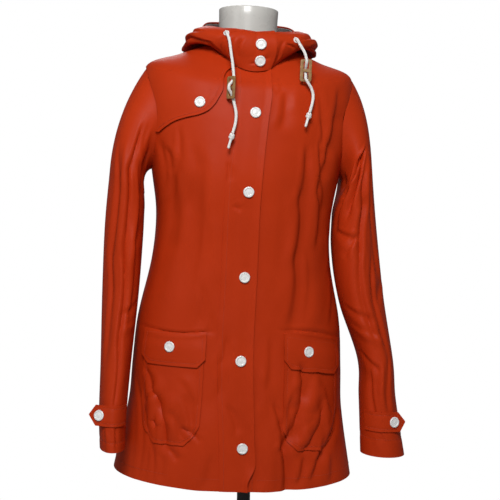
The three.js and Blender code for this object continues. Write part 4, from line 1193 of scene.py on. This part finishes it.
def cuff_tabs():
    half = TAB_HEIGHT / 2
    high = grid(-half, half, 24)[:, None]
    for tab in CUFF_TABS:
        tips = 2 - TAB_POINT / tab["free"] * np.abs(high) / half
        flat = np.minimum(grid(0, 60 / 59, 44), 1) + 0 * high
        u = np.hstack([flat, 1 + (tips - 1) * grid(0, 1, 20)[1:]])
        near = np.minimum((tips - u) * tab["free"], half - np.abs(high))
        lift = edge_relief(near, 5, 0.4) + 0.2
        node, sleeve = "cuff_tab_" + tab["name"], "sleeve_" + tab["name"]
        cloth(node, TABS[tab["name"]], u, tab["z"] + high, lift)


def hood_halves():
    s = grid(0, 1, 84)[:, None]
    right = grid(-math.pi + HOOD_SEAM, math.radians(22), 150)
    lift = hood_lap(right) + 0.9 * smooth(right, math.radians(14), math.radians(22))
    left = grid(math.radians(-12), math.pi - HOOD_SEAM, 145)
    cloth("hood_right", HOOD, right, s, lift)
    cloth("hood_left", HOOD, left, s, -WALL / 2)


def hood_linings():
    s = grid(0.16, 0.985, 64)[:, None]
    lift = -WALL / 2 - LAP - LINING_WALL
    for name, side in SIDES.items():
        angles = np.sort(side * grid(math.radians(24), math.pi - 1.5 * HOOD_SEAM, 110))
        cloth("hood_lining_" + name, HOOD, angles, s, lift,
              look=("lining", JERSEY), thickness=LINING_WALL)


# Snaps and eyelets
SNAP_PROFILE = [(0, 0), (8.9, 0), (9.3, 0.5), (9.3, 1.2), (9.0, 1.9), (8.4, 2.5), (7.6, 2.75), (6.9, 2.65),
                (6.5, 2.2), (6.2, 1.95), (5.6, 1.9), (2.4, 2.0), (1.9, 2.15), (0, 2.2)]
EYELET_PROFILE = [
    (3.3, 0), (5.0, 0), (5.3, 0.4), (5.2, 0.9), (4.7, 1.35), (4.1, 1.45), (3.6, 1.2), (3.3, 0.7),
]


def snap(node, point, normal, lift):
    rings = turned_rings(SNAP_PROFILE, 48, point + normal * (lift + LAP), normal)
    stand_in(node, loft_mesh(rings), "snap", PLASTIC, 40)


def snaps():
    layer = WALL + LAP
    places = [(f"front_snap_{i + 1}", float(snap_line_at(z)), z, layer) for i, z in enumerate(FRONT_SNAPS)]
    places.append(("storm_flap_snap", -92, 1298, layer))
    places += [(node, x, z, float(flap_lift(*front_place(x, z)))) for node, x, z in POCKET_SNAPS]
    for node, x, z, lift in places:
        place = front_place(x, z)
        snap(node, PLAIN_BODY.out(*place, lift), PLAIN_BODY.normal(*place), WALL)
    for node, x, z in COLLAR_SNAPS:
        place = hood_place(math.degrees(math.asin(x / COLLAR_RADIUS)), z)
        snap(node, hood_plain_at(*place), HOOD_PLAIN.normal(*place), float(hood_lap(place[0])) + WALL)
    for tab in CUFF_TABS:
        surface, place = TABS[tab["name"]], (tab["snap"], tab["z"])
        snap("cuff_snap_" + tab["name"], surface.at(*place), surface.normal(*place), WALL)


def eyelets():
    for side in EYELETS:
        rings = turned_rings(EYELET_PROFILE, 40, *eyelet_base(side))
        mesh = mesh_of(rings.reshape(-1, 3), tube_faces(*rings.shape[:2], closed=True))
        stand_in("eyelet_" + side, mesh, "eyelet", PLASTIC, 40)


# Dress form and stand
def torso_ring(turns, level):
    """A ring of the form under the coat, clear of it except at the shoulder seams."""
    level = np.full(turns.shape, float(level))
    sin = np.abs(np.sin(turns))
    slim = 14 * (1 - smooth(level, 860, 1120))
    armhole = smooth(level, UNDERARM - 60, 1250) * (1 - smooth(level, 1340, SHOULDER))
    seam = smooth(sin, 0.975, 0.999) * smooth(level, SHOULDER - 20, SHOULDER)
    torso = FORM_ROOM * (1 - smooth(level, 1290, 1350))
    gap = lerp(FORM_GAP + torso + slim + 3 * armhole * sin**4, FORM_TOUCH, seam)
    return BARE_BODY.out(turns, level, -gap)


def round_ring(turns, radius, z, drop, x, y):
    """A ring about a place, whose front is lower than its back by a drop."""
    fall = drop * (1 + np.cos(turns)) / 2
    return np.stack([x + radius * np.sin(turns), y - radius * np.cos(turns), z - fall], axis=-1)


# Rings of the form's neck: change of radius, height, drop of the front and share of the shift
NECK_RINGS = [
    (2, 1428, 34, 0.5), (-0.5, 1438, 22, 0.8), (-1, 1446, 14, 1), (-0.6, 1462, 4, 1),
    (0, FORM_TOP - 2.2, 0, 1), (-0.6, FORM_TOP - 0.8, 0, 1), (-2, FORM_TOP, 0, 1),
]


def form():
    """The form with the bore for its pole, from the bore's end round to the top of the neck."""
    turns = turns_of(96)
    rings = []
    for z in (POLE_TOP + 1, FORM_BOTTOM):
        rings.append(round_ring(turns, POLE_RADIUS + SEAM + 0.3, z, 0, (LEAN_HEIGHT - z) * math.tan(LEAN), 0))
    levels = (*grid(FORM_BOTTOM, UNDERARM, 40), *grid(UNDERARM, NECK, 40)[1:])
    rings += [torso_ring(turns, level) for level in levels]
    for wider, z, drop, share in NECK_RINGS:
        rings.append(round_ring(turns, NECK_RADIUS + wider, z, drop, NECK_SHIFT * share, NECK_BACK))
    stand_in("form_torso", loft_mesh(rings), "form", FORM, 50)


def upright_piece(node, profile, sides):
    """A turned piece on the vertical axis of the stand, which doesn't lean."""
    turns = turns_of(sides)
    circle = np.stack([np.cos(turns), np.sin(turns), 0 * turns], axis=-1)
    rings = [max(r, 0.01) * circle + (0, 0, h) for r, h in profile]
    stand_in(node, loft_mesh(rings, leans=False), "stand", METAL, 35)


def pole():
    low, high = BASE_THICK + SEAM, POLE_TOP
    r, bevel = POLE_RADIUS, 0.6
    half = [(0, low), (r - bevel, low), (r, low + bevel), (r, high - bevel), (r - bevel, high), (0, high)]
    upright_piece("stand_pole", half, 64)


def base():
    r, bevel = BASE_RADIUS, 0.6
    rim = [(r - 3 + 3 * math.sin(t), BASE_THICK - 3 + 3 * math.cos(t)) for t in grid(math.pi / 2, 0, 6)]
    upright_piece("stand_base", [(0, 0), (r - bevel, 0), (r, bevel), *rim, (0, BASE_THICK)], 128)


# Stitches: short raised dashes of thread along lines on the cloth
STITCH_PITCH = 3.4
STITCH_LENGTH = 2.5
STITCH_RADIUS = 0.32
PATCH_INSET = 6


STITCH_TURNS = np.radians((0, 60, 120, 180, 270))[:, None]


def point_on(line, steps, distance):
    return np.array([np.interp(distance, steps, line[:, k]) for k in range(3)])


def stitch(start, stop, normal):
    """A thread between two points, with a ring at a quarter and at three quarters of it."""
    ahead = (stop - start) / max(np.linalg.norm(stop - start), 1e-6)
    side = unit(np.cross(ahead, normal))
    circle = STITCH_RADIUS * (np.cos(STITCH_TURNS) * side + np.sin(STITCH_TURNS) * np.cross(side, ahead))
    return [start, *(lerp(start, stop, 0.25) + circle), *(lerp(start, stop, 0.75) + circle), stop]


def stitch_mesh(lines):
    points, faces = [], []
    count = len(STITCH_TURNS)
    for line, normals in lines:
        steps = distances(line)
        for start in np.arange(STITCH_PITCH / 2, steps[-1] - STITCH_LENGTH, STITCH_PITCH):
            ends = [point_on(line, steps, start + step) for step in (0, STITCH_LENGTH)]
            first = len(points)
            points += stitch(*ends, point_on(normals, steps, start))
            for j in range(count):
                a, b = first + 1 + j, first + 1 + (j + 1) % count
                c, d = a + count, b + count
                faces += [(first, b, a), (a, b, d, c), (first + 1 + 2 * count, c, d)]
    return mesh_of(points, faces)


def line_on(surface, u, v, lift):
    return surface.out(u, v, lift), surface.normal(u, v)


def sewing(name, lines):
    new_object("sewing_" + name, stitch_mesh(lines), "cloth", THREAD, 80)


def body_sewing():
    level = grid(HEM + 2, NECK_SEAM - 14, 240)
    lines = []
    for x in (PLACKET_RIGHT + 5, PLACKET_LEFT - 5):
        lines.append(line_on(BODY, theta_at_x(level, snap_line_at(level) + x), level, WALL * 2 + LAP + 0.1))
    hem = HEM + 19
    sides = (PLACKET_LEFT + 2, PLACKET_RIGHT - 2)
    start, stop = (float(theta_at_x(hem, snap_line_at(hem) + x)) for x in sides)
    lines.append(line_on(BODY, grid(start, stop + 2 * math.pi, 260), hem, WALL + 0.12))
    sewing("body", lines)


def stepped(path, count):
    """A line with even steps from corner to corner, up to the last corner."""
    shares = np.linspace(0, 1, count, endpoint=False)[:, None]
    return np.vstack([lerp(a, b, shares) for a, b in zip(path[:-1], path[1:])])


def patch_outline(rows, side, closed):
    """A line of stitches inside the edge of a patch, as x and z."""
    top = rows[-1]["z"] - (PATCH_INSET if closed else 0)
    z = np.clip(values_of(rows, "z"), rows[0]["z"] + PATCH_INSET, top)
    left = np.stack([values_of(rows, "inner") + PATCH_INSET / 1.1, z], axis=1)
    right = np.stack([values_of(rows, "outer") - PATCH_INSET / 1.3, z], axis=1)[::-1]
    x, z = stepped(np.vstack([left[-1:], right, left] if closed else [right, left]), 24).T
    return side * x, z - sag_at(side, x, z)


def pocket_sewing():
    lines = []
    for side in SIDES.values():
        x, z = patch_outline(POCKET_ROWS, side, False)
        shown = z < 855
        u, v = front_place(x[shown], z[shown])
        lines.append(line_on(BODY, u, v, pocket_lift(u, v) + WALL + 0.12))
        u, v = front_place(*patch_outline(FLAP_ROWS, side, True))
        lines.append(line_on(BODY, u, v, flap_lift(u, v) + WALL + 0.45))
    sewing("pockets", lines)


def tab_stitches(tab):
    half = TAB_HEIGHT / 2 - 5
    tip = 2 - 7 / tab["free"]
    slope = tip - TAB_POINT / tab["free"] * half / (TAB_HEIGHT / 2)
    u, z = stepped(np.array([(0.02, -half), (slope, -half), (tip, 0), (slope, half), (0.02, half)]), 30).T
    return line_on(TABS[tab["name"]], u, tab["z"] + z, WALL + 0.05)


def small_sewing():
    edge = front_place(values_of(STORM_EDGE, "x") - 4, values_of(STORM_EDGE, "z") + 4)
    corners = np.arange(len(STORM_EDGE))
    theta, level = (np.interp(grid(0, corners[-1], 120), corners, values) for values in edge)
    lines = [line_on(BODY, theta, level, 2 * WALL + LAP + 1.5)]
    lines += [tab_stitches(tab) for tab in CUFF_TABS]
    for _, surface in SLEEVES.values():
        lines.append(line_on(surface, grid(0, 2 * math.pi, 160), 4.69, WALL / 2 - 0.45))
    for start, stop in ((-178, 22), (-10, 178)):
        theta = np.radians(grid(start, stop, 220))
        lift = hood_lap(theta) + WALL if start < -90 else WALL / 2
        lines.append(line_on(HOOD, theta, 0.93, lift + 0.08))
    sewing("details", lines)


camera()
cords()
fronts()
back()
placket()
storm_flap()
pockets()
sleeves()
cuff_tabs()
hood_halves()
hood_linings()
snaps()
eyelets()
form()
pole()
base()
body_sewing()
pocket_sewing()
small_sewing()


# Floor and light
def light(name, place, target, size, power_watts):
    data = bpy.data.lights.new(name, "AREA")
    data.shape = "RECTANGLE"
    data.size, data.size_y = size
    data.energy = power_watts
    lamp = bpy.data.objects.new(name, data)
    lamp.location = place
    lamp.rotation_euler = (Vector(target) - Vector(place)).to_track_quat("-Z", "Y").to_euler()
    bpy.context.scene.collection.objects.link(lamp)


def seen_white(tree, unseen):
    """White to the camera, and another shader for the light that falls elsewhere."""
    path = add_node(tree, "ShaderNodeLightPath")
    mix = add_node(tree, "ShaderNodeMixShader")
    glow = add_node(tree, "ShaderNodeEmission", Strength=1.0)
    tree.links.new(path.outputs["Is Camera Ray"], mix.inputs["Fac"])
    tree.links.new(unseen, mix.inputs[1])
    tree.links.new(glow.outputs["Emission"], mix.inputs[2])
    return mix.outputs["Shader"]


AMBIENT = 0.15
KEY_WATTS = 47


FLOOR_REACH = 12


def studio_floor():
    corners = [(x * FLOOR_REACH, y * FLOOR_REACH, 0) for x, y in ((-1, -1), (1, -1), (1, 1), (-1, 1))]
    mesh = bpy.data.meshes.new("floor")
    mesh.from_pydata(corners, [], [(0, 1, 2, 3)])
    material = finish("pale_floor", ((3, 3), [(0.3, 0.5), (0.8, 0.55)]), Roughness=0.9)
    tree = material.node_tree
    shown = seen_white(tree, tree.nodes["Principled BSDF"].outputs["BSDF"])
    tree.links.new(shown, tree.nodes["Material Output"].inputs["Surface"])
    mesh.materials.append(material)
    floor = bpy.data.objects.new("floor", mesh)
    bpy.context.scene.collection.objects.link(floor)


def studio():
    studio_floor()
    world = bpy.data.worlds.new("studio")
    world.use_nodes = True
    tree = world.node_tree
    sky = tree.nodes["Background"]
    sky.inputs["Color"].default_value = (1, 1, 1, 1)
    sky.inputs["Strength"].default_value = AMBIENT
    tree.links.new(seen_white(tree, sky.outputs["Background"]), tree.nodes["World Output"].inputs["Surface"])
    bpy.context.scene.world = world
    light("key", (-0.35, -1.95, 2.5), (0, 0, 1.15), (0.9, 0.9), KEY_WATTS)
    light("fill", (-2.4, -1.6, 1.9), (0, 0, 1.2), (1.0, 1.6), 5)
    light("back", (0.1, 2.3, 3.0), (0, 0, 1.1), (1.4, 1.6), 24)


studio()
bpy.context.scene.view_settings.view_transform = "Standard"
